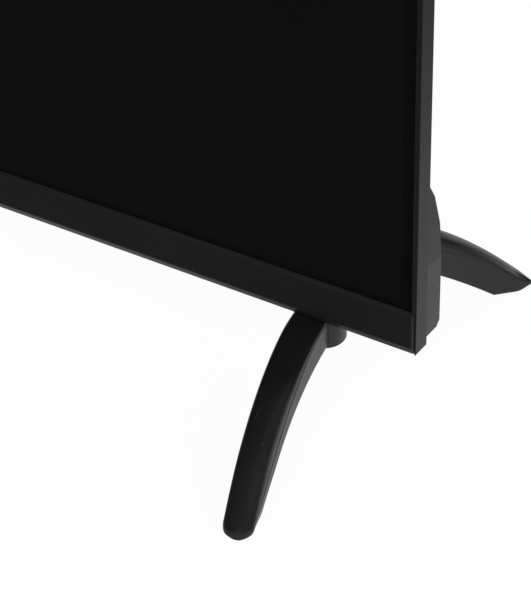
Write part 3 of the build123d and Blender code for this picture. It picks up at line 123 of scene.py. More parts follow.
class Graph:                                    # one node tree, filled by name
    def __init__(self, owner):
        owner.use_nodes = True
        self.tree = owner.node_tree
        self.tree.nodes.clear()

    def add(self, kind, settings=None, inputs=None, output=0):
        node = self.tree.nodes.new("ShaderNode" + kind)
        for name, value in (settings or {}).items():
            setattr(node, name, value)
        for name, value in (inputs or {}).items():
            if isinstance(value, Signal):
                self.tree.links.new(value.socket, node.inputs[name])
            else:
                node.inputs[name].default_value = value
        return Signal(self, node.outputs[output]) if node.outputs else None

    def calc(self, operation, *values):
        return self.add("Math", {"operation": operation}, dict(enumerate(values)))

    def place(self, stretch=(1, 1, 1), turn=(0, 0, 0), source="Object"):
        spot = self.add("TexCoord").of(source)
        return self.add("Mapping", {}, {"Vector": spot, "Scale": stretch, "Rotation": turn})

    def split(self, vector):
        parts = self.add("SeparateXYZ", {}, {"Vector": vector})
        return parts.of("X"), parts.of("Y"), parts.of("Z")

    def noise(self, size, detail=2.0, where=None, roughness=0.5):
        return self.add("TexNoise", {}, {"Vector": where or self.place(), "Scale": 1 / (size * mm),
                                         "Detail": detail, "Roughness": roughness})

    def cells(self, size, output="Distance"):
        return self.add("TexVoronoi", {}, {"Vector": self.place(), "Scale": 1 / (size * mm)}).of(output)

    def ease(self, value, start, end, low=0.0, high=1.0):
        return self.add("MapRange", {"interpolation_type": "SMOOTHSTEP"},
                        {"Value": value, "From Min": start, "From Max": end,
                         "To Min": low, "To Max": high})

    def tint(self, factor, first, second):      # a colour between two
        first, second = ((*c, 1) if isinstance(c, tuple) else c for c in (first, second))
        return self.add("Mix", {"data_type": "RGBA"}, {0: factor, 6: first, 7: second}, output=2)

    def mottle(self, factor, colour, darkest, brightest):
        return self.tint(factor, shade(colour, darkest), shade(colour, brightest))

    def stripe(self, value, start, end):        # 1 near zero, on both sides, fading out further off
        return self.ease(self.calc("ABSOLUTE", value), start, end, 1.0, 0.0)

    def bump(self, height, depth, normal=None):
        inputs = {"Height": height, "Distance": depth * mm}
        if normal:
            inputs["Normal"] = normal
        return self.add("Bump", {}, inputs)

    def softEdge(self, radius):                 # rounds the look of sharp edges
        return self.add("Bevel", {"samples": 4}, {"Radius": radius * mm})

    def finish(self, **inputs):
        inputs = {key.replace("_", " "): value for key, value in inputs.items()}
        self.add("OutputMaterial", {}, {"Surface": self.add("BsdfPrincipled", {}, inputs)})


def newFinish(name):
    material = bpy.data.materials.new(name)
    return material, Graph(material)


def shade(colour, factor):
    return tuple(part * factor for part in colour)


# Before each finish stand the sizes and shares it uses where its look doesn't name its own.
# Moulded plastic: fine grain, slow unevenness in tone and gloss, softened edges.
plastic = {"cloud": 60.0, "swing": (0.86, 1.14), "speck": 1.1, "speckRange": (0.66, 0.76),
           "speckShare": 0.25, "speckTone": 1.6, "cloudRough": 0.12, "grainRough": 0.10,
           "edge": 0.3, "specular": 0.5}


def mouldedPlastic(name, look):
    look = plastic | look
    material, g = newFinish(name)
    grain = g.noise(look["grain"], detail=3.0)
    cloud = g.noise(look["cloud"])
    speck = g.ease(g.noise(look["speck"], detail=1.0), *look["speckRange"])
    tone = g.mottle(cloud, look["colour"], *look["swing"])
    tone = g.tint(speck * look["speckShare"], tone, shade(look["colour"], look["speckTone"]))
    rough = look["roughness"] + (cloud - 0.5) * look["cloudRough"] + (grain - 0.5) * look["grainRough"]
    normal = g.bump(grain, look["depth"], g.softEdge(look["edge"]))
    g.finish(Base_Color=tone, Roughness=rough, Normal=normal, Specular_IOR_Level=look["specular"])
    return material


# Sheet metal: a crystal spangle under drawn lines that run one way.
sheet = {"spangle": 9.0, "line": 2.0, "drawn": (0.05, 1, 1.6), "contrast": 0.5,
         "swing": (0.86, 1.08), "lineRough": 0.22, "greyRough": 0.08, "depth": 0.03, "edge": 0.25}


def sheetMetal(name, look):
    look = sheet | look
    material, g = newFinish(name)
    spangle = g.cells(look["spangle"], output="Color")
    grey = g.add("SeparateColor", {}, {"Color": spangle}).of("Red")
    lines = g.noise(look["line"], detail=3.0, where=g.place(stretch=look["drawn"]))
    tone = g.mottle(grey * look["contrast"], look["colour"], *look["swing"])
    rough = look["roughness"] + (lines - 0.5) * look["lineRough"] + (grey - 0.5) * look["greyRough"]
    normal = g.bump(lines, look["depth"], g.softEdge(look["edge"]))
    g.finish(Base_Color=tone, Metallic=1.0, Roughness=rough, Normal=normal)
    return material


# Circuit board: solder mask over tracks that switch direction from patch to patch, with
# islands of tinned pads. Track and pad edges are shares of the pitch.
board = {"pitch": 1.4, "patch": 18.0, "trackEdge": (0.14, 0.20), "trackPatch": 7.0,
         "trackFrom": 0.47, "padEdge": (0.20, 0.25), "padPatch": 11.0, "padFrom": 0.56,
         "padColour": (0.62, 0.60, 0.55), "padMetal": 0.9, "weave": 0.7, "swing": (0.88, 1.1),
         "roughness": 0.34, "uneven": 0.1, "trackRise": 0.6, "padRise": 0.4, "depth": 0.05,
         "edge": 0.1, "coat": 0.25}


def circuitBoard(name, look):
    look = board | look
    material, g = newFinish(name)
    x, y, z = g.split(g.place())
    pitch = look["pitch"] * mm
    patch = g.cells(look["patch"], output="Color")
    upright = g.add("SeparateColor", {}, {"Color": patch}).of("Green") > 0.5
    along = x * upright + z * (1 - upright)
    tracked = g.noise(look["trackPatch"], detail=1.0) > look["trackFrom"]
    track = g.stripe((along / pitch) % 1.0 - 0.5, *look["trackEdge"]) * tracked
    padX = (x / (2 * pitch)) % 1.0 - 0.5
    padZ = (z / (2 * pitch)) % 1.0 - 0.5
    padded = g.noise(look["padPatch"], detail=1.0) > look["padFrom"]
    pad = g.stripe(g.calc("SQRT", padX * padX + padZ * padZ), *look["padEdge"]) * padded
    weave = g.noise(look["weave"])
    base = g.mottle(weave, look["colour"], *look["swing"])
    tone = g.tint(pad, g.tint(track, base, look["track"]), look["padColour"])
    rough = look["roughness"] + weave * look["uneven"] - pad * look["uneven"]
    rise = track * look["trackRise"] + pad * look["padRise"]
    normal = g.bump(rise, look["depth"], g.softEdge(look["edge"]))
    g.finish(Base_Color=tone, Metallic=pad * look["padMetal"], Roughness=rough, Normal=normal,
             Coat_Weight=look["coat"])
    return material


# Parallel conductors under film, as on flat cables and panel flexes.
ribbon = {"lineEdge": (0.18, 0.28), "lineShare": 0.8, "between": 0.95, "haze": 4.0,
          "hazeShare": 0.2, "hazeTone": 0.7, "hazeRough": 0.12, "depth": 0.08}


def ribbonCable(name, look):
    look = ribbon | look
    material, g = newFinish(name)
    x, y, z = g.split(g.place())
    line = g.stripe((x / (look["pitch"] * mm)) % 1.0 - 0.5, *look["lineEdge"])
    haze = g.noise(look["haze"])
    tone = g.tint(line * look["lineShare"], shade(look["colour"], look["between"]), look["line"])
    tone = g.tint(haze * look["hazeShare"], tone, shade(look["colour"], look["hazeTone"]))
    rough = look["roughness"] + haze * look["hazeRough"]
    g.finish(Base_Color=tone, Roughness=rough, Normal=g.bump(line, look["depth"]))
    return material


# Film and clear plastic: light passes, with fine ribs and a haze.
clear = {"ribStretch": 1, "haze": 30.0, "swing": (0.95, 1.0), "hazeRough": 0.08, "ior": 1.49}


def clearPlastic(name, look):
    look = clear | look
    material, g = newFinish(name)
    ribs = g.noise(look["rib"], detail=1.0, where=g.place(stretch=(1, 1, look["ribStretch"])))
    haze = g.noise(look["haze"])
    tone = g.mottle(haze, look["colour"], *look["swing"])
    rough = look["roughness"] + haze * look["hazeRough"]
    g.finish(Base_Color=tone, Roughness=rough, IOR=look["ior"], Transmission_Weight=look["clear"],
             Normal=g.bump(ribs, look["depth"]))
    return material


# Rubber, foam and the reflector sheet: dull, with pores.
dull = {"bloom": 14.0, "swing": (1.0, 1.5), "roughness": 0.72, "bloomRough": 0.16, "edge": 0.2,
        "specular": 0.3}


def rubber(name, look):
    look = dull | look
    material, g = newFinish(name)
    pores = g.cells(look["pore"])
    bloom = g.noise(look["bloom"], detail=3.0)
    tone = g.mottle(bloom, look["colour"], *look["swing"])
    rough = look["roughness"] + bloom * look["bloomRough"]
    normal = g.bump(pores, look["depth"], g.softEdge(look["edge"]))
    g.finish(Base_Color=tone, Roughness=rough, Normal=normal, Specular_IOR_Level=look["specular"])
    return material


# Paper cone: pressed fibres in clumps.
paper = {"fibre": 0.5, "stretch": (1, 0.3, 1), "clump": 3.0, "swing": (0.7, 1.5),
         "roughness": 0.82, "clumpRough": 0.1, "depth": 0.1}


def pressedPaper(name, look):
    look = paper | look
    material, g = newFinish(name)
    fibres = g.noise(look["fibre"], detail=4.0, where=g.place(stretch=look["stretch"]), roughness=0.7)
    clumps = g.noise(look["clump"])
    tone = g.mottle(fibres, look["colour"], *look["swing"])
    rough = look["roughness"] + clumps * look["clumpRough"]
    g.finish(Base_Color=tone, Roughness=rough, Normal=g.bump(fibres + clumps, look["depth"]))
    return material


# Lamp strips: white lacquer, with the yellow phosphor of the chips in front of it.
strip = {"patch": 6.0, "swing": (0.93, 1.0), "roughness": 0.35, "patchRough": 0.15,
         "depth": 0.05, "edge": 0.15}


def lampStrip(name, look):
    look = strip | look
    material, g = newFinish(name)
    x, y, z = g.split(g.place())
    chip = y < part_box("led_strips")[0].y + look["chipThickness"] * mm
    patch = g.noise(look["patch"])
    tone = g.tint(chip, g.mottle(patch, look["colour"], *look["swing"]), look["phosphor"])
    normal = g.bump(patch, look["depth"], g.softEdge(look["edge"]))
    g.finish(Base_Color=tone, Roughness=look["roughness"] + patch * look["patchRough"], Normal=normal)
    return material


# The panel: black behind an anti-glare coat, with the unlit border a little deeper.
screen = {"sparkle": 0.25, "film": 160.0, "wipe": 9.0, "wipeStretch": (0.12, 1, 1),
          "wipeTurn": (0, 0.5, 0), "swing": (0.85, 1.2), "borderTone": 0.8, "filmRough": 0.06,
          "wipeRough": 0.05}


def panelGlass(name, look):
    look = screen | look
    material, g = newFinish(name)
    x, y, z = g.split(g.place())
    low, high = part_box("lcd_panel")
    middle = (low + high) / 2
    inX = (high.x - low.x) / 2 - g.calc("ABSOLUTE", x - middle.x)
    inZ = (high.z - low.z) / 2 - g.calc("ABSOLUTE", z - middle.z)
    start, end = (edge * mm for edge in look["border"])
    border = g.ease(g.calc("MINIMUM", inX, inZ), start, end, 1.0, 0.0)
    sparkle = g.noise(look["sparkle"], detail=1.0)
    film = g.noise(look["film"])
    wiped = g.noise(look["wipe"], detail=3.0,
                    where=g.place(stretch=look["wipeStretch"], turn=look["wipeTurn"]))
    tone = g.mottle(film, look["colour"], *look["swing"])
    tone = g.tint(border, tone, shade(look["colour"], look["borderTone"]))
    rough = look["roughness"] + (film - 0.5) * look["filmRough"] + (wiped - 0.5) * look["wipeRough"]
    g.finish(Base_Color=tone, Roughness=rough, Normal=g.bump(sparkle, look["depth"]),
             Specular_IOR_Level=look["specular"])
    return material


# Polished foot: gloss with faint streaks along the arm, hairlines, one scrape and one speck.
# Its texture is laid out by the UV map, which runs along the arm and round its section.
polished = {"streak": (0.35, 6.0), "streakScale": 5.0, "hair": (1.5, 60.0), "hairSlant": 2.0,
            "hairScale": 6.0, "hairRange": (0.68, 0.74), "hairShare": 0.15, "speckEdge": (0.5, 1.0),
            "speckShare": 0.8, "haze": 22.0, "swing": (0.8, 1.25), "streakRough": 0.20,
            "hazeRough": 0.05, "markRough": 0.25}


def polishedFoot(name, look):
    look = polished | look
    material, g = newFinish(name)
    along, around, flat = g.split(g.place(source="UV"))
    lengthwise = g.add("CombineXYZ", {}, {"X": along * look["streak"][0], "Y": around * look["streak"][1]})
    streak = g.add("TexNoise", {}, {"Vector": lengthwise, "Scale": look["streakScale"], "Detail": 3.0})
    slanted = along * look["hair"][0] + around * look["hairSlant"]
    hair = g.add("CombineXYZ", {}, {"X": slanted, "Y": around * look["hair"][1]})
    hairline = g.add("TexNoise", {}, {"Vector": hair, "Scale": look["hairScale"], "Detail": 1.0})
    hairline = g.ease(hairline, *look["hairRange"])
    pastA, pastB = along - look["scrapeAt"][0], around - look["scrapeAt"][1]
    scrape = g.stripe(pastA * look["scrapeSlant"] - pastB, 0.0, look["scrapeWidth"])
    scrape = scrape * g.stripe(pastA, 0.0, look["scrapeLength"])
    offA = (along - look["speckAt"][0]) / look["speckSize"]
    offB = (around - look["speckAt"][1]) / look["speckSize"]
    speck = g.stripe(g.calc("SQRT", offA * offA + offB * offB), *look["speckEdge"])
    haze = g.noise(look["haze"], detail=3.0)
    marks = scrape + speck * look["speckShare"] + hairline * look["hairShare"]
    marks = g.calc("MINIMUM", marks, 1.0)
    tone = g.tint(marks, g.mottle(haze, look["colour"], *look["swing"]), look["scratch"])
    rough = look["roughness"] + (streak - 0.5) * look["streakRough"]
    rough = rough + haze * look["hazeRough"] + marks * look["markRough"]
    g.finish(Base_Color=tone, Roughness=rough, Normal=g.bump(streak, look["depth"]),
             Specular_IOR_Level=look["specular"])
    return material


# Trim bar: fine matt grain, with its bevelled border polished.
bar = {"cloud": 45.0, "swing": (0.85, 1.15), "polishRough": 0.2, "grainRough": 0.14}


def trimBar(name, look):
    look = bar | look
    material, g = newFinish(name)
    polish = g.add("Attribute", {"attribute_name": "polish"}).of("Fac")
    grain = g.noise(look["grain"], detail=3.0)
    cloud = g.noise(look["cloud"])
    tone = g.mottle(cloud, look["colour"], *look["swing"])
    rough = look["roughness"] - polish * look["polishRough"] + (grain - 0.5) * look["grainRough"]
    normal = g.bump(grain * (1 - polish), look["depth"])
    g.finish(Base_Color=tone, Roughness=rough, Normal=normal, Specular_IOR_Level=look["specular"],
             Coat_Weight=polish * look["coat"], Coat_Roughness=look["coatRoughness"])
    return material


finishes = {
    "frame_black": (mouldedPlastic, {"colour": (0.006, 0.006, 0.0063), "roughness": 0.40, "grain": 0.55,
                                     "depth": 0.05, "specular": 0.22}),
    "trim_black": (trimBar, {"colour": (0.0135, 0.0135, 0.014), "roughness": 0.55, "grain": 0.45,
                             "depth": 0.08, "specular": 0.03, "coat": 0.36, "coatRoughness": 0.2}),
    "screen_black": (panelGlass, {"colour": (0.0055, 0.0055, 0.0058), "roughness": 0.30,
                                  "border": (6.0, 6.4), "depth": 0.004, "specular": 0.01}),
    "foam_black": (rubber, {"colour": (0.015, 0.015, 0.015), "pore": 0.5, "depth": 0.15}),
    "inner_black": (mouldedPlastic, {"colour": (0.026, 0.026, 0.026), "roughness": 0.5, "grain": 0.8,
                                     "depth": 0.08}),
    "clear_film": (clearPlastic, {"colour": (0.78, 0.81, 0.83), "roughness": 0.2, "rib": 0.3,
                                  "ribStretch": 0.02, "clear": 0.6, "depth": 0.02}),
    "milky_plate": (clearPlastic, {"colour": (0.86, 0.87, 0.87), "roughness": 0.55, "rib": 0.6,
                                   "clear": 0.25, "depth": 0.02}),
    "white_sheet": (rubber, {"colour": (0.62, 0.62, 0.61), "pore": 0.8, "depth": 0.03}),
    "zinc_sheet": (sheetMetal, {"colour": (0.60, 0.61, 0.62), "roughness": 0.40}),
    "strip_metal": (lampStrip, {"colour": (0.80, 0.80, 0.78), "phosphor": (0.80, 0.62, 0.10),
                                "chipThickness": 0.6}),
    "lens_clear": (clearPlastic, {"colour": (0.92, 0.93, 0.94), "roughness": 0.04, "rib": 3.0,
                                  "clear": 0.92, "depth": 0.01}),
    "board_green": (circuitBoard, {"colour": (0.014, 0.085, 0.035), "track": (0.04, 0.17, 0.07)}),
    "board_tan": (circuitBoard, {"colour": (0.40, 0.27, 0.13), "track": (0.50, 0.36, 0.20),
                                 "pitch": 2.2}),
    "flex_amber": (ribbonCable, {"colour": (0.42, 0.17, 0.03), "line": (0.62, 0.33, 0.12),
                                 "pitch": 0.8, "roughness": 0.25}),
    "ribbon_white": (ribbonCable, {"colour": (0.74, 0.74, 0.71), "line": (0.50, 0.50, 0.49),
                                   "pitch": 1.0, "roughness": 0.4}),
    "chip_black": (mouldedPlastic, {"colour": (0.016, 0.016, 0.017), "roughness": 0.55, "grain": 0.25,
                                    "depth": 0.03, "edge": 0.2}),
    "sink_metal": (sheetMetal, {"colour": (0.66, 0.67, 0.68), "roughness": 0.36, "spangle": 3.0,
                                "contrast": 0.15, "drawn": (1.5, 0.04, 1.5), "depth": 0.05}),
    "standoff_brass": (sheetMetal, {"colour": (0.74, 0.52, 0.20), "roughness": 0.26, "spangle": 1.5,
                                    "contrast": 0.3, "drawn": (1, 5, 1), "depth": 0.02}),
    "screw_zinc": (sheetMetal, {"colour": (0.62, 0.63, 0.62), "roughness": 0.30, "spangle": 1.2,
                                "contrast": 0.3, "drawn": (1, 4, 1), "depth": 0.02}),
    "screw_black": (mouldedPlastic, {"colour": (0.018, 0.018, 0.018), "roughness": 0.38, "grain": 0.3,
                                     "depth": 0.03, "edge": 0.15}),
    "socket_metal": (sheetMetal, {"colour": (0.62, 0.62, 0.61), "roughness": 0.28, "spangle": 2.0,
                                  "contrast": 0.3, "edge": 0.1}),
    "socket_chrome": (sheetMetal, {"colour": (0.74, 0.72, 0.68), "roughness": 0.14, "spangle": 2.0,
                                   "contrast": 0.2, "drawn": (1, 1, 4), "depth": 0.01}),
    "socket_black": (mouldedPlastic, {"colour": (0.020, 0.020, 0.020), "roughness": 0.42, "grain": 0.4,
                                      "depth": 0.03, "edge": 0.2}),
    "plate_grey": (mouldedPlastic, {"colour": (0.055, 0.055, 0.058), "roughness": 0.45, "grain": 0.3,
                                    "depth": 0.03, "edge": 0.15}),
    "cover_black": (mouldedPlastic, {"colour": (0.016, 0.016, 0.0165), "roughness": 0.46, "grain": 0.9,
                                     "depth": 0.22, "specular": 0.36, "edge": 0.5, "cloud": 90.0}),
    "basket_black": (mouldedPlastic, {"colour": (0.022, 0.022, 0.022), "roughness": 0.4, "grain": 0.5,
                                      "depth": 0.05}),
    "rubber_black": (rubber, {"colour": (0.014, 0.014, 0.014), "pore": 0.7, "depth": 0.12}),
    "cone_paper": (pressedPaper, {"colour": (0.035, 0.034, 0.033)}),
    "window_dark": (clearPlastic, {"colour": (0.05, 0.008, 0.010), "roughness": 0.06, "rib": 8.0,
                                   "clear": 0.35, "depth": 0.01}),
    "lead_sleeve": (mouldedPlastic, {"colour": (0.020, 0.020, 0.021), "roughness": 0.44, "grain": 0.5,
                                     "depth": 0.04, "edge": 0.1}),
    "foot_gloss": (polishedFoot, {"colour": (0.0075, 0.0075, 0.0078), "roughness": 0.17, "depth": 0.02,
                                  "specular": 0.35, "scratch": (0.036, 0.036, 0.036),
                                  "scrapeAt": (0.137, 0.0347), "scrapeSlant": -0.478,
                                  "scrapeWidth": 0.0015, "scrapeLength": 0.015,
                                  "speckAt": (0.099, -0.0205), "speckSize": 0.003}),
    "key_black": (mouldedPlastic, {"colour": (0.024, 0.024, 0.025), "roughness": 0.42, "grain": 0.3,
                                   "depth": 0.03, "edge": 0.3}),
}

materials = {slot: make(slot, look) for slot, (make, look) in finishes.items()}
for part in frame["record"]["subparts"]:
    shell = frame["nodes"][part["node"]].data
    shell.materials.clear()
    shell.materials.append(materials[part["material_slot"]])
print("finishes made:", len(materials))


# A grid of points becomes quads, joined edge to edge where it wraps.
def gridMesh(name, points, wrapAround=True, capEnds=False, uv=None):
    rows, columns = points.shape[:2]
    index = np.arange(rows * columns).reshape(rows, columns)
    beside = np.roll(index, -1, axis=1) if wrapAround else index[:, 1:]
    here = index if wrapAround else index[:, :-1]
    quads = np.stack([here[:-1], beside[:-1], beside[1:], here[1:]], axis=-1).reshape(-1, 4)
    faces = quads.tolist()
    if capEnds:
        faces += [index[0][::-1].tolist(), index[-1].tolist()]
    mesh = bpy.data.meshes.new(name)
    mesh.from_pydata((points.reshape(-1, 3) * mm).tolist(), [], faces)
    if uv is not None:
        layer = mesh.uv_layers.new(name="surface")
        corners = np.zeros(len(mesh.loops), dtype=int)
        mesh.loops.foreach_get("vertex_index", corners)
        layer.data.foreach_set("uv", uv.reshape(-1, 2)[corners].ravel())
    return mesh


# Points that meet are merged, and only edges that turn by more than the crease angle stay sharp.
def tidyMesh(mesh, merge=0.002, crease=35.0):
    work = bmesh.new()
    work.from_mesh(mesh)
    bmesh.ops.remove_doubles(work, verts=work.verts, dist=merge * mm)
    bmesh.ops.dissolve_degenerate(work, edges=work.edges, dist=merge * mm)
    bmesh.ops.recalc_face_normals(work, faces=work.faces)
    work.to_mesh(mesh)
    work.free()
    mesh.shade_smooth()
    mesh.set_sharp_from_angle(angle=math.radians(crease))


def addPiece(mesh, slotName, body="television", finish=None):
    piece = bpy.data.objects.new(mesh.name, mesh)
    bpy.context.scene.collection.objects.link(piece)
    mesh.materials.clear()
    mesh.materials.append(finish or materials[slotName])
    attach(piece, body)
    return piece


# The bar under the screen: a flat face in a bevelled border, which is higher along the bottom.
trim = {
    "corner": 1.4,                              # radius of the four corners of the outline
    "bevel": 1.2,                               # height of the border at the top and the ends
    "lowBevel": 3.0,
    "bevelDepth": 1.1,
    "ease": 0.12,                               # how soon the bevel starts to level off
    "bevelSteps": 12,
    "cornerSteps": 7,
    "leastRadius": 0.05,                        # of the corners of the inner rings
    "polishFade": ((0.1, 0.8), (0.2, 0.3), (0.4, 0.0)),     # (distance onto the flat face, polish)
    "crease": 50.0,
}


# Each corner is a quarter turn, and the outline runs round them. The insets of the top and
# the ends are one number, and that of the bottom another.
def trimOutline(halfWidth, low, high, inset, lowInset):
    angles = np.linspace(0, math.pi / 2, trim["cornerSteps"])
    signX, signZ = np.array([1, -1, -1, 1])[:, None], np.array([1, 1, -1, -1])[:, None]
    radius = max(trim["corner"] - inset, trim["leastRadius"])
    bend = angles[None] + np.arange(4)[:, None] * math.pi / 2
    edgeZ = np.where(signZ > 0, high - inset - radius, low + lowInset + radius)
    x = signX * (halfWidth - inset - radius) + radius * np.cos(bend)
    z = edgeZ + radius * np.sin(bend)
    return x.ravel(), z.ravel()


# Rings of that outline, drawn in from the bar's back over its edge and up the bevel, which
# levels off along a hyperbola at the flat face. The last ring closes on the bar's middle line.
def makeTrim():
    low, high = (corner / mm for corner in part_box("bottom_trim"))
    middleX, middleZ = (low.x + high.x) / 2, (low.z + high.z) / 2
    halfWidth = (high.x - low.x) / 2
    t = np.linspace(0, 1, trim["bevelSteps"])
    soft = trim["ease"]
    climb = 1 - (np.sqrt((1 - t) ** 2 + soft ** 2) - soft) / (math.hypot(1, soft) - soft)
    flat, left = np.array(trim["polishFade"]).T
    insets = np.concatenate([[0.0], trim["bevel"] * t, trim["bevel"] + flat])
    lowInsets = np.concatenate([[0.0], trim["lowBevel"] * t, trim["lowBevel"] + flat])
    depths = np.concatenate([[high.y], low.y + trim["bevelDepth"] * (1 - climb), low.y + 0 * flat])
    polish = np.concatenate([[0.0, 1.0], np.ones(len(t)), left, [0.0]])
    rings = []
    for inset, lowInset, depth in zip(insets, lowInsets, depths):
        x, z = trimOutline(halfWidth, low.z, high.z, inset, lowInset)
        rings.append(np.column_stack([x + middleX, np.full_like(x, depth), z]))
    reach = halfWidth - (high.z - low.z) / 2
    spine = rings[-1].copy()
    spine[:, 0] = middleX + np.clip(spine[:, 0] - middleX, -reach, reach)
    spine[:, 2] = middleZ
    behind = spine.copy()
    behind[:, 1] = high.y
    points = np.array([behind, *rings, spine])
    mesh = gridMesh("bottom_trim_bar", points)
    layer = mesh.attributes.new("polish", "FLOAT", "POINT")
    layer.data.foreach_set("value", np.repeat(polish, points.shape[1]))
    tidyMesh(mesh, crease=trim["crease"])
    piece = addPiece(mesh, "trim_black")
    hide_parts("bottom_trim")


makeTrim()
print("trim bar made")

# The feet: one arch each, from the front toe over the crown to the rear toe.
foot = {
    "centre": 421.3,
    "crownDepth": 59.75,
    "width": 19.0,
    "topRise": 45.4,
    "crown": 0.15,                              # how much the top swells between its edges
    "toeRise": 4.2,
    "archRise": 33.4,
    "underRise": 0.4,
    "corner": (2.6, 5.0, 3.4),                  # width of the outer corner at crown, arm and toe
    "cornerSpan": (0.45, 0.82, 0.90),
    "facetShare": 0.65,                         # of the corner's width, and of the crease's depth
    "facetDrop": 0.20,
    "facetEndDrop": 0.3,                        # added to it where the wall draws in
    "roundEnd": 72.0,                           # how far round the corner turns before the crease
    "swellFrom": 3.0,                           # half width from which the top swells in full
    "innerCorner": (4.0, 2.4, 3.2),             # radius of the inner corner at crown, arm and toe
    "innerSpan": (0.05, 0.5, 0.8),
    "lowCorner": 1.4,
    "creaseTop": 1.5,                           # depth below the top, width and dent at the crown
    "crownGap": 0.7,
    "crownDent": 0.35,
    "crownMeet": 0.4,                           # share in which an arm's own crease takes over
    "lip": 0.6,                                 # share of the dent that the rounding stands back
    "fallEase": 0.0006,                         # how softly the top sets out, and over which share
    "fallStart": 0.3,
    "toeDrop": 0.15,
    "undercut": 3.0,                            # how far the front toe's wall draws in below
    "undercutRise": 0.9,                        # and from which share of its height
    "stations": 80,
    "toeStations": 14,
    "bossX": 429.5,
    "bossDepth": 11.2,
    "bossRadius": 9.5,
    "bossDrop": 16.5,
    "bossRound": 2.0,
    "bossSteps": 8,
    "bossSink": 0.2,                            # how far its upper end stays below the crown
    "screws": ((428.3, 13.0), (421.3, 33.0)),
    "headRadius": 4.4,
    "headSeat": 6.0,
    "padRadius": 4.0,
    "padDepth": 1.2,
    "cutStart": -1.0,                           # the pad's pocket is cut from below the floor
    "blockHalf": 7.0,
    "blockDepths": (11.0, 37.0),
    "blockRise": (-2.0, 3.5),
    "uvUnit": 100.0,                            # millimetres round the section per unit of the UV map
}
# Points in each stretch of a section.
footSteps = {"flat": 5, "low": 6, "wall": 6, "round": 10, "facet": 4, "top": 10}
# What the sizes above are held to where the arm gets narrow or low, as shares of its half width,
# of its height or, for the gap, of the crease's depth.
footLimits = {
    "lowWidth": 0.4,
    "lowHeight": 0.35,
    "corner": 0.72,
    "inner": 0.5,
    "dent": 0.08,
    "gap": 0.3,
    "undercut": 0.5,
    "crease": 0.55,
    "creaseLess": 0.15,                         # taken off it where the wall draws in
}
# Each change of the crease's depth along an arm is (change, start share, end share). The tip lies
# further out, along and aside, and the underside comes up there by a share of the toe's height.
# The wall draws in between the two shares named ending, which lie beyond the rear arm's tip.
arms = {
    -1: {"splay": 28.7, "power": 1.56, "length": 147.9, "fall": (-0.503, 0.866), "heel": 0.905,
         "underPower": 3.38, "toeRound": 4.2, "crease": ((4.9, 0.44, 0.82),),
         "creaseWidth": 0.8, "creaseDepth": 0.25, "toeWidth": 12.8, "tip": (0.0, 0.0),
         "tipLift": 0.0, "ending": (0.78, 0.97)},
    1: {"splay": 45.6, "power": 1.72, "length": 68.2, "fall": (-0.337, 1.441), "heel": 0.83,
        "underPower": 1.6, "toeRound": 6.9, "crease": ((3.6, 0.02, 0.42), (-3.15, 0.45, 0.80)),
        "creaseWidth": 0.6, "creaseDepth": 0.15, "toeWidth": 10.8, "tip": (2.1, 2.5),
        "tipLift": 0.6, "ending": (1.5, 2.0)},
}


def glide(value, start, end):                   # smooth step from 0 to 1
    t = np.clip((value - start) / (end - start), 0, 1)
    return t * t * (3 - 2 * t)


def toeShareOf(arm):                            # length share over which the toe rounds off
    return arm["toeRound"] / math.hypot(arm["splay"] * arm["power"], arm["length"])


def middleLine(direction, frontY, s):           # runs aside as s to a power
    arm = arms[direction]
    return (foot["centre"] + arm["splay"] * s ** arm["power"],
            frontY + foot["crownDepth"] + direction * arm["length"] * s)


def blend(sizes, span, s):                      # a size at crown, arm and toe
    first, most, last = sizes
    start, end, toe = span
    return first + (most - first) * glide(s, start, end) + (last - most) * glide(s, toe, 1)


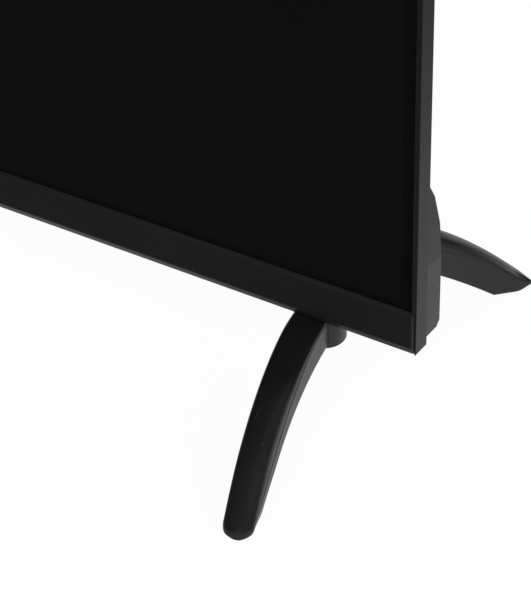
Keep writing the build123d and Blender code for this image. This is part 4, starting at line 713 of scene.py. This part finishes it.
# An arm as arrays over its length share s, from the crown to the toe: the top falls as a cubic
# in s, the underside as a power, and the toe narrows as an ellipse.
def armStations(direction, frontY):
    arm = arms[direction]
    toeShare = toeShareOf(arm)
    sweep = np.linspace(0, math.pi / 2, foot["toeStations"])
    s = np.concatenate([np.linspace(0, 1 - toeShare, foot["stations"], endpoint=False),
                        1 - toeShare * (1 - np.sin(sweep))])
    x, y = middleLine(direction, frontY, s)
    leanX = arm["splay"] * arm["power"] * s ** (arm["power"] - 1)
    leanY = np.full_like(s, direction * arm["length"])
    size = np.hypot(leanX, leanY)
    sideX, sideY = direction * leanY / size, -direction * leanX / size
    first, second = arm["fall"]
    fall = first * s + second * s ** 2 + (1 - first - second) * s ** 3
    fall = (fall + np.sqrt(fall ** 2 + foot["fallEase"])) / 2 * glide(s, 0, foot["fallStart"])
    top = foot["topRise"] - (foot["topRise"] - foot["toeRise"]) * fall
    under = foot["archRise"] - (foot["archRise"] - foot["underRise"]) \
        * np.minimum(s / arm["heel"], 1) ** arm["underPower"]
    toTip = np.clip((1 - s) / toeShare, 0, 1)
    narrow = np.sqrt(np.clip(1 - (1 - toTip) ** 2, 0, 1))
    under = under + arm["tipLift"] * (top - under) * (1 - toTip) ** 3
    half = (foot["width"] + (arm["toeWidth"] - foot["width"]) * s) / 2 * narrow
    tipAlong, tipAside = arm["tip"]
    x = x + (1 - narrow) * (tipAside * sideX + tipAlong * leanX / size)
    y = y + (1 - narrow) * (tipAside * sideY + tipAlong * leanY / size)
    top = top - foot["toeDrop"] * (top - under) * (1 - np.sqrt(np.clip(1 - (1 - toTip) ** 6, 0, 1)))
    crease = foot["creaseTop"] + sum(change * glide(s, start, end) for change, start, end in arm["crease"])
    ending = glide(s, *arm["ending"])
    deepest = footLimits["crease"] - footLimits["creaseLess"] * ending
    crease = np.minimum(crease, deepest * (top - under))
    corner = blend(foot["corner"], foot["cornerSpan"], s)
    tight = blend(foot["innerCorner"], foot["innerSpan"], s)
    own = glide(s, 0, foot["crownMeet"])        # the creases of the two arms are alike at the crown
    gap = foot["crownGap"] + (arm["creaseWidth"] - foot["crownGap"]) * own
    dent = foot["crownDent"] + (arm["creaseDepth"] - foot["crownDent"]) * own
    columns = (x, y, sideX, sideY, half, top, under, crease, corner, tight, gap, dent, ending)
    return np.stack(columns, axis=-1), s


# A section from the underside's middle up the outer side, over the top and down the inner side:
# flat underside, low corner, wall, crease, part of an ellipse, sloping facet, slightly swelled
# top, a tight inner corner, plain wall, low corner. Towards the front toe the outer low corner
# grows over the wall, so that the toe is undercut.
def footSurface(frontY):
    front, sFront = armStations(-1, frontY)
    rear, sRear = armStations(1, frontY)
    rows = np.concatenate([front[::-1], rear[1:]])
    reach = np.concatenate([-sFront[::-1], sRear[1:]])
    x, y, sideX, sideY, half, top, under, crease, corner, tight, gap, dent, ending = rows.T[:, :, None]
    height = top - under
    low = np.minimum(foot["lowCorner"], half * footLimits["lowWidth"])
    low = np.minimum(low, height * footLimits["lowHeight"])
    corner = np.minimum(corner, half * footLimits["corner"])
    tight = np.minimum(tight, np.minimum(half, height) * footLimits["inner"])
    dent = np.minimum(dent, half * footLimits["dent"])
    gap = np.minimum(gap, crease * footLimits["gap"])
    flat = np.linspace(0, 1, footSteps["flat"])[None, :-1]
    turn = np.linspace(0, math.pi / 2, footSteps["low"])[None]
    wall = np.linspace(0, 1, footSteps["wall"])[None, 1:-1]
    creaseZ = top - crease
    wallHigh = creaseZ - gap / 2
    lowUp = low + (wallHigh - under - low) * foot["undercutRise"] * ending
    lowIn = low + (np.minimum(foot["undercut"], half * footLimits["undercut"]) - low) * ending
    wallLow = under + lowUp
    # The rounding runs from the crease up to the facet's lower line.
    arc = np.radians(np.linspace(foot["roundEnd"], 0, footSteps["round"]))[None]
    lineX = half - corner * (1 - foot["facetShare"])
    lineZ = top - crease * (foot["facetDrop"] + foot["facetEndDrop"] * ending)
    roundX = lineX + (half - dent * foot["lip"] - lineX) * np.sin(arc) / math.sin(arc[0, 0])
    climb = (np.cos(arc) - math.cos(arc[0, 0])) / (1 - math.cos(arc[0, 0]))
    roundZ = creaseZ + gap / 2 + (lineZ - creaseZ - gap / 2) * climb
    edgeX = half - corner
    facet = np.linspace(0, 1, footSteps["facet"])[None, 1:]
    topRun = np.linspace(0, 1, footSteps["top"])[None, 1:]
    innerX = -(half - tight)
    topX = edgeX + (innerX - edgeX) * topRun
    swell = foot["crown"] * 4 * topRun * (1 - topRun) * glide(half, 0, foot["swellFrom"])
    innerLow = under + low
    innerHigh = top - tight
    across = np.concatenate([(half - lowIn) * flat, half - lowIn + lowIn * np.sin(turn),
                             half + 0 * wall, half,
                             half - dent, roundX, lineX + (edgeX - lineX) * facet, topX,
                             innerX - tight * np.sin(turn[:, 1:]), -half + 0 * wall,
                             -(half - low) - low * np.cos(turn), -(half - low) * flat[:, :0:-1]], axis=1)
    rise = np.concatenate([under + 0 * flat, under + lowUp - lowUp * np.cos(turn),
                           wallLow + (wallHigh - wallLow) * wall, wallHigh, creaseZ, roundZ,
                           lineZ + (top - lineZ) * facet, top + swell,
                           top - tight + tight * np.cos(turn[:, 1:]),
                           innerHigh + (innerLow - innerHigh) * wall,
                           under + low - low * np.sin(turn), under + 0 * flat[:, :0:-1]], axis=1)
    points = np.stack([x + sideX * across, y + sideY * across, rise], axis=-1)
    around = np.cumsum(np.hypot(np.diff(across, axis=1, prepend=across[:, :1]),
                                np.diff(rise, axis=1, prepend=rise[:, :1])), axis=1)
    # The middle of the top lies beyond the facet's upper line, the last point before the top's own.
    start = flat.size + turn.size + wall.size + 2 + arc.size + facet.size
    middle = around[:, [start - 1]] + edgeX
    uv = np.stack([(reach[:, None] + 1) / 2 + 0 * around, (around - middle) / foot["uvUnit"]], axis=-1)
    return points, uv


# A profile of (radius, height) pairs turned round an upright axis.
def turned(name, centre, profile, steps=48):
    angle = np.linspace(0, 2 * math.pi, steps, endpoint=False)
    radius, height = np.array(profile).T[:, :, None]
    points = np.stack([centre[0] + radius * np.cos(angle), centre[1] + radius * np.sin(angle),
                       height + 0 * angle], axis=-1)
    mesh = gridMesh(name, points)
    tidyMesh(mesh)
    return mesh


def plug(name, centre, radius, low, high):      # a plain round bar
    return turned(name, centre, [(0.0, low), (radius, low), (radius, high), (0.0, high)])


def slab(name, low, high, soft=0.4, steps=32):  # a block whose upright edges are rounded
    middle, half = (np.array(low) + high) / 2, (np.array(high) - low) / 2
    angle = np.linspace(0, 2 * math.pi, steps, endpoint=False)
    ringX = middle[0] + half[0] * np.sign(np.cos(angle)) * np.abs(np.cos(angle)) ** soft
    ringY = middle[1] + half[1] * np.sign(np.sin(angle)) * np.abs(np.sin(angle)) ** soft
    points = np.array([np.column_stack([ringX, ringY, np.full(steps, z)]) for z in (low[2], high[2])])
    mesh = gridMesh(name, points, capEnds=True)
    tidyMesh(mesh)
    return mesh


def carve(target, tool, operation):             # joins or cuts, then drops the tool
    helper = bpy.data.objects.new("helper", tool)
    bpy.context.scene.collection.objects.link(helper)
    work = target.modifiers.new("carve", "BOOLEAN")
    work.operation = operation
    work.solver = "EXACT"
    work.object = helper
    bpy.context.view_layer.update()
    result = bpy.data.meshes.new_from_object(target.evaluated_get(bpy.context.evaluated_depsgraph_get()))
    target.modifiers.remove(work)
    old = target.data
    target.data = result
    result.name = old.name
    bpy.data.meshes.remove(old)
    bpy.data.objects.remove(helper)
    bpy.data.meshes.remove(tool)


def makeFoot(side):
    name = {1: "foot_right", -1: "foot_left"}[side]
    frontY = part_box("front_frame")[0].y / mm
    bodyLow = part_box("front_frame")[0].z / mm
    points, uv = footSurface(frontY)
    mesh = gridMesh(name + "_arch", points, uv=uv)
    tidyMesh(mesh)
    piece = bpy.data.objects.new(mesh.name, mesh)
    bpy.context.scene.collection.objects.link(piece)
    bossLow = bodyLow - foot["bossDrop"]
    bossHigh = foot["topRise"] - foot["bossSink"]
    turn = np.linspace(0, math.pi / 2, foot["bossSteps"])
    wall = [(foot["bossRadius"] - foot["bossRound"] * (1 - math.sin(t)),
             bossLow + foot["bossRound"] * (1 - math.cos(t))) for t in turn]
    profile = [(0.0, bossLow), *wall, (foot["bossRadius"], bossHigh), (0.0, bossHigh)]
    bossPlace = (foot["bossX"], frontY + foot["bossDepth"])
    carve(piece, turned("boss", bossPlace, profile), "UNION")
    low, high = ((foot["centre"] + way * foot["blockHalf"], frontY + depth, bodyLow + rise)
                 for way, depth, rise in zip((-1, 1), foot["blockDepths"], foot["blockRise"]))
    carve(piece, slab("block", low, high), "UNION")
    for screwX, screwDepth in foot["screws"]:
        place = (screwX, frontY + screwDepth)
        carve(piece, plug("bore", place, foot["headRadius"], 0, bodyLow - foot["headSeat"]), "DIFFERENCE")
    for direction, arm in arms.items():
        place = middleLine(direction, frontY, 1 - toeShareOf(arm))
        pocket = plug("pocket", place, foot["padRadius"], foot["cutStart"], foot["padDepth"])
        carve(piece, pocket, "DIFFERENCE")
    if side < 0:
        piece.data.transform(Matrix.Diagonal((-1, 1, 1, 1)))
    tidyMesh(piece.data)
    finished = piece.data
    bpy.data.objects.remove(piece)
    piece = addPiece(finished, "foot_gloss")
    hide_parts(name)


for side in (1, -1):
    makeFoot(side)
print("feet made")

# Marks on the keys: beads of this width and height, sunk a little, along lines in shares of the
# key's width and height from its middle.
keyMark = {"line": 0.7, "rise": 0.12, "sink": 0.05, "steps": 7}
chevron = [[(-0.16, -0.08), (0.0, 0.12), (0.16, -0.08)]]
ringTurn = np.linspace(math.radians(50), math.radians(-230), 22)
marks = {
    "key_power": [[(0.17 * math.cos(t), 0.22 * math.sin(t) - 0.02) for t in ringTurn],
                  [(0.0, 0.02), (0.0, 0.28)]],
    "key_source": [[(0.02, 0.2), (0.2, 0.2), (0.2, -0.2), (0.02, -0.2)], [(-0.2, 0.0), (0.1, 0.0)],
                   [(0.02, 0.1), (0.1, 0.0), (0.02, -0.1)]],
    "key_volume_up": [[(-0.16, 0.0), (0.16, 0.0)], [(0.0, -0.21), (0.0, 0.21)]],
    "key_volume_down": [[(-0.16, 0.0), (0.16, 0.0)]],
    "key_channel_up": chevron,
    "key_channel_down": [[(x, -z) for x, z in chevron[0]]],
}


# A flat-bottomed half-round bead carried along a line on the key's face.
def bead(path, faceY):
    path = np.array(path)
    run = np.gradient(path, axis=0)
    run /= np.linalg.norm(run, axis=1, keepdims=True)
    aside = np.column_stack([-run[:, 1], run[:, 0]])
    angle = np.linspace(0, math.pi, keyMark["steps"])
    across = np.concatenate([keyMark["line"] / 2 * np.cos(angle), [0.0]])
    proud = np.concatenate([keyMark["rise"] * np.sin(angle), [-keyMark["sink"]]])
    flat = path[:, None, :] + aside[:, None, :] * across[None, :, None]
    depth = faceY + proud[None, :] + 0 * flat[..., 0]
    return np.stack([flat[..., 0], depth, flat[..., 1]], axis=-1)


def makeMark(node):
    low, high = (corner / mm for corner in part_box(node))
    middle = (low + high) / 2
    width, height = high.x - low.x, high.z - low.z
    work = bmesh.new()
    for stroke in marks[node]:
        # Seen from behind, +X is to the left, so the strokes are mirrored.
        path = [(middle.x - x * width, middle.z + z * height) for x, z in stroke]
        mesh = gridMesh("stroke", bead(path, high.y), capEnds=True)
        work.from_mesh(mesh)
        bpy.data.meshes.remove(mesh)
    mesh = bpy.data.meshes.new(node.replace("key_", "") + "_mark")
    work.to_mesh(mesh)
    work.free()
    tidyMesh(mesh)
    body = next(name for name, members in frame["record"]["behaviour"]["bodies"].items() if node in members)
    addPiece(mesh, "key_black", body, markPaint)


markPaint = mouldedPlastic("mark_paint", {"colour": (0.36, 0.36, 0.36), "roughness": 0.5, "grain": 0.2,
                                          "depth": 0.02, "edge": 0.05})
for node in marks:
    makeMark(node)
print("key marks made")

# Floor and light. The floor is white to the camera and keeps a soft shadow. In reflections it shows a
# painted glow: dim before the television, white beside, below and behind it, and fading with distance.
studio = {
    "floorHalf": 6000.0,
    "white": 1.0,
    "shadowShare": 0.04,
    "floorColour": (0.86, 0.86, 0.86),
    "floorCloud": 400.0,
    "floorShade": 0.99,
    "dim": 0.3,
    "dimTo": (438.0, 466.0),                    # where the floor brightens, to either side
    "dimBefore": (-75.0, -45.0),                # and where towards the back
    "nearFall": (300.0, 440.0),                 # there it falls a little towards the ends
    "nearTone": (1.0, 0.6),
    "fade": (515.0, 720.0),
    "fadeTone": (1.0, 0.40),
    "rise": (0.05, 0.75),                       # the sky darkens upwards
    "riseTone": (0.35, 0.16),
    "sideTurn": (-0.35, 0.15),                  # brightens towards the right
    "sideTone": (0.5, 2.0),
    "backTurn": (0.78, 0.92),                   # and darkens straight behind
    "backTone": (1.0, 0.25),
}
lamps = {
    "keyLamp": {"at": (500.0, -2200.0, 2600.0), "size": 1800.0, "watts": 42.0},
    "sideLamp": {"at": (2300.0, -300.0, 1500.0), "size": 1500.0, "watts": 26.0},
    "backLamp": {"at": (0.0, 2400.0, 2000.0), "size": 1800.0, "watts": 34.0},
}


def layFloor():
    half = studio["floorHalf"]
    corners = np.array([[(x, y, 0.0) for x in (-half, half)] for y in (-half, half)])
    mesh = gridMesh("floor", corners, wrapAround=False)
    material, g = newFinish("floor_white")
    rays = g.add("LightPath")
    direct = rays.of("Is Camera Ray")
    bounced = g.calc("MAXIMUM", rays.of("Is Glossy Ray"), rays.of("Is Transmission Ray"))
    seen = g.calc("MAXIMUM", direct, bounced)
    cloud = g.noise(studio["floorCloud"])
    paper = g.mottle(cloud, studio["floorColour"], studio["floorShade"], 1.0)
    lit = g.add("BsdfDiffuse", {}, {"Color": paper})
    x, y, z = g.split(g.place())
    aside, away = g.calc("ABSOLUTE", x), g.calc("SQRT", x * x + y * y)
    dimTo, dimBefore, nearFall, fade = ([edge * mm for edge in studio[key]]
                                        for key in ("dimTo", "dimBefore", "nearFall", "fade"))
    # Painted reflection: the glow seen in reflections is dim before the television, white beside and behind
    # it, and fades with distance.
    beside = g.ease(aside, *dimTo, studio["dim"], studio["white"])
    below = g.ease(y, *dimBefore, studio["dim"], studio["white"])
    below = below * g.ease(aside, *nearFall, *studio["nearTone"])
    mirrored = g.calc("MAXIMUM", beside, below) * g.ease(away, *fade, *studio["fadeTone"])
    strength = mirrored + direct * (studio["white"] - mirrored)
    glow = g.add("Emission", {}, {"Color": (1, 1, 1, 1), "Strength": strength})
    mixed = g.add("MixShader", {}, {0: seen * (1 - studio["shadowShare"]), 1: lit, 2: glow})
    g.add("OutputMaterial", {}, {"Surface": mixed})
    mesh.materials.append(material)
    floor = bpy.data.objects.new("floor", mesh)
    bpy.context.scene.collection.objects.link(floor)


def lightWorld():
    world = bpy.data.worlds.new("studio")
    bpy.context.scene.world = world
    g = Graph(world)
    x, y, z = g.split(g.add("TexCoord").of("Generated"))
    tone = g.ease(z, *studio["rise"], *studio["riseTone"])
    tone = tone * g.ease(x, *studio["sideTurn"], *studio["sideTone"])
    tone = tone * g.ease(y, *studio["backTurn"], *studio["backTone"])
    around = g.add("Background", {}, {"Color": (1, 1, 1, 1), "Strength": tone})
    white = g.add("Background", {}, {"Color": (1, 1, 1, 1), "Strength": studio["white"]})
    rays = g.add("LightPath")
    mixed = g.add("MixShader", {}, {0: rays.of("Is Camera Ray"), 1: around, 2: white})
    g.add("OutputWorld", {}, {"Surface": mixed})


def hangLamps():
    for name, lamp in lamps.items():
        light = bpy.data.lights.new(name, "AREA")
        light.size = lamp["size"] * mm
        light.energy = lamp["watts"]
        spot = bpy.data.objects.new(name, light)
        bpy.context.scene.collection.objects.link(spot)
        spot.location = Vector(lamp["at"]) * mm
        spot.rotation_euler = (-spot.location).to_track_quat("-Z", "Y").to_euler()
        spot.visible_glossy = False


layFloor()
lightWorld()
hangLamps()
print("stage and light made")
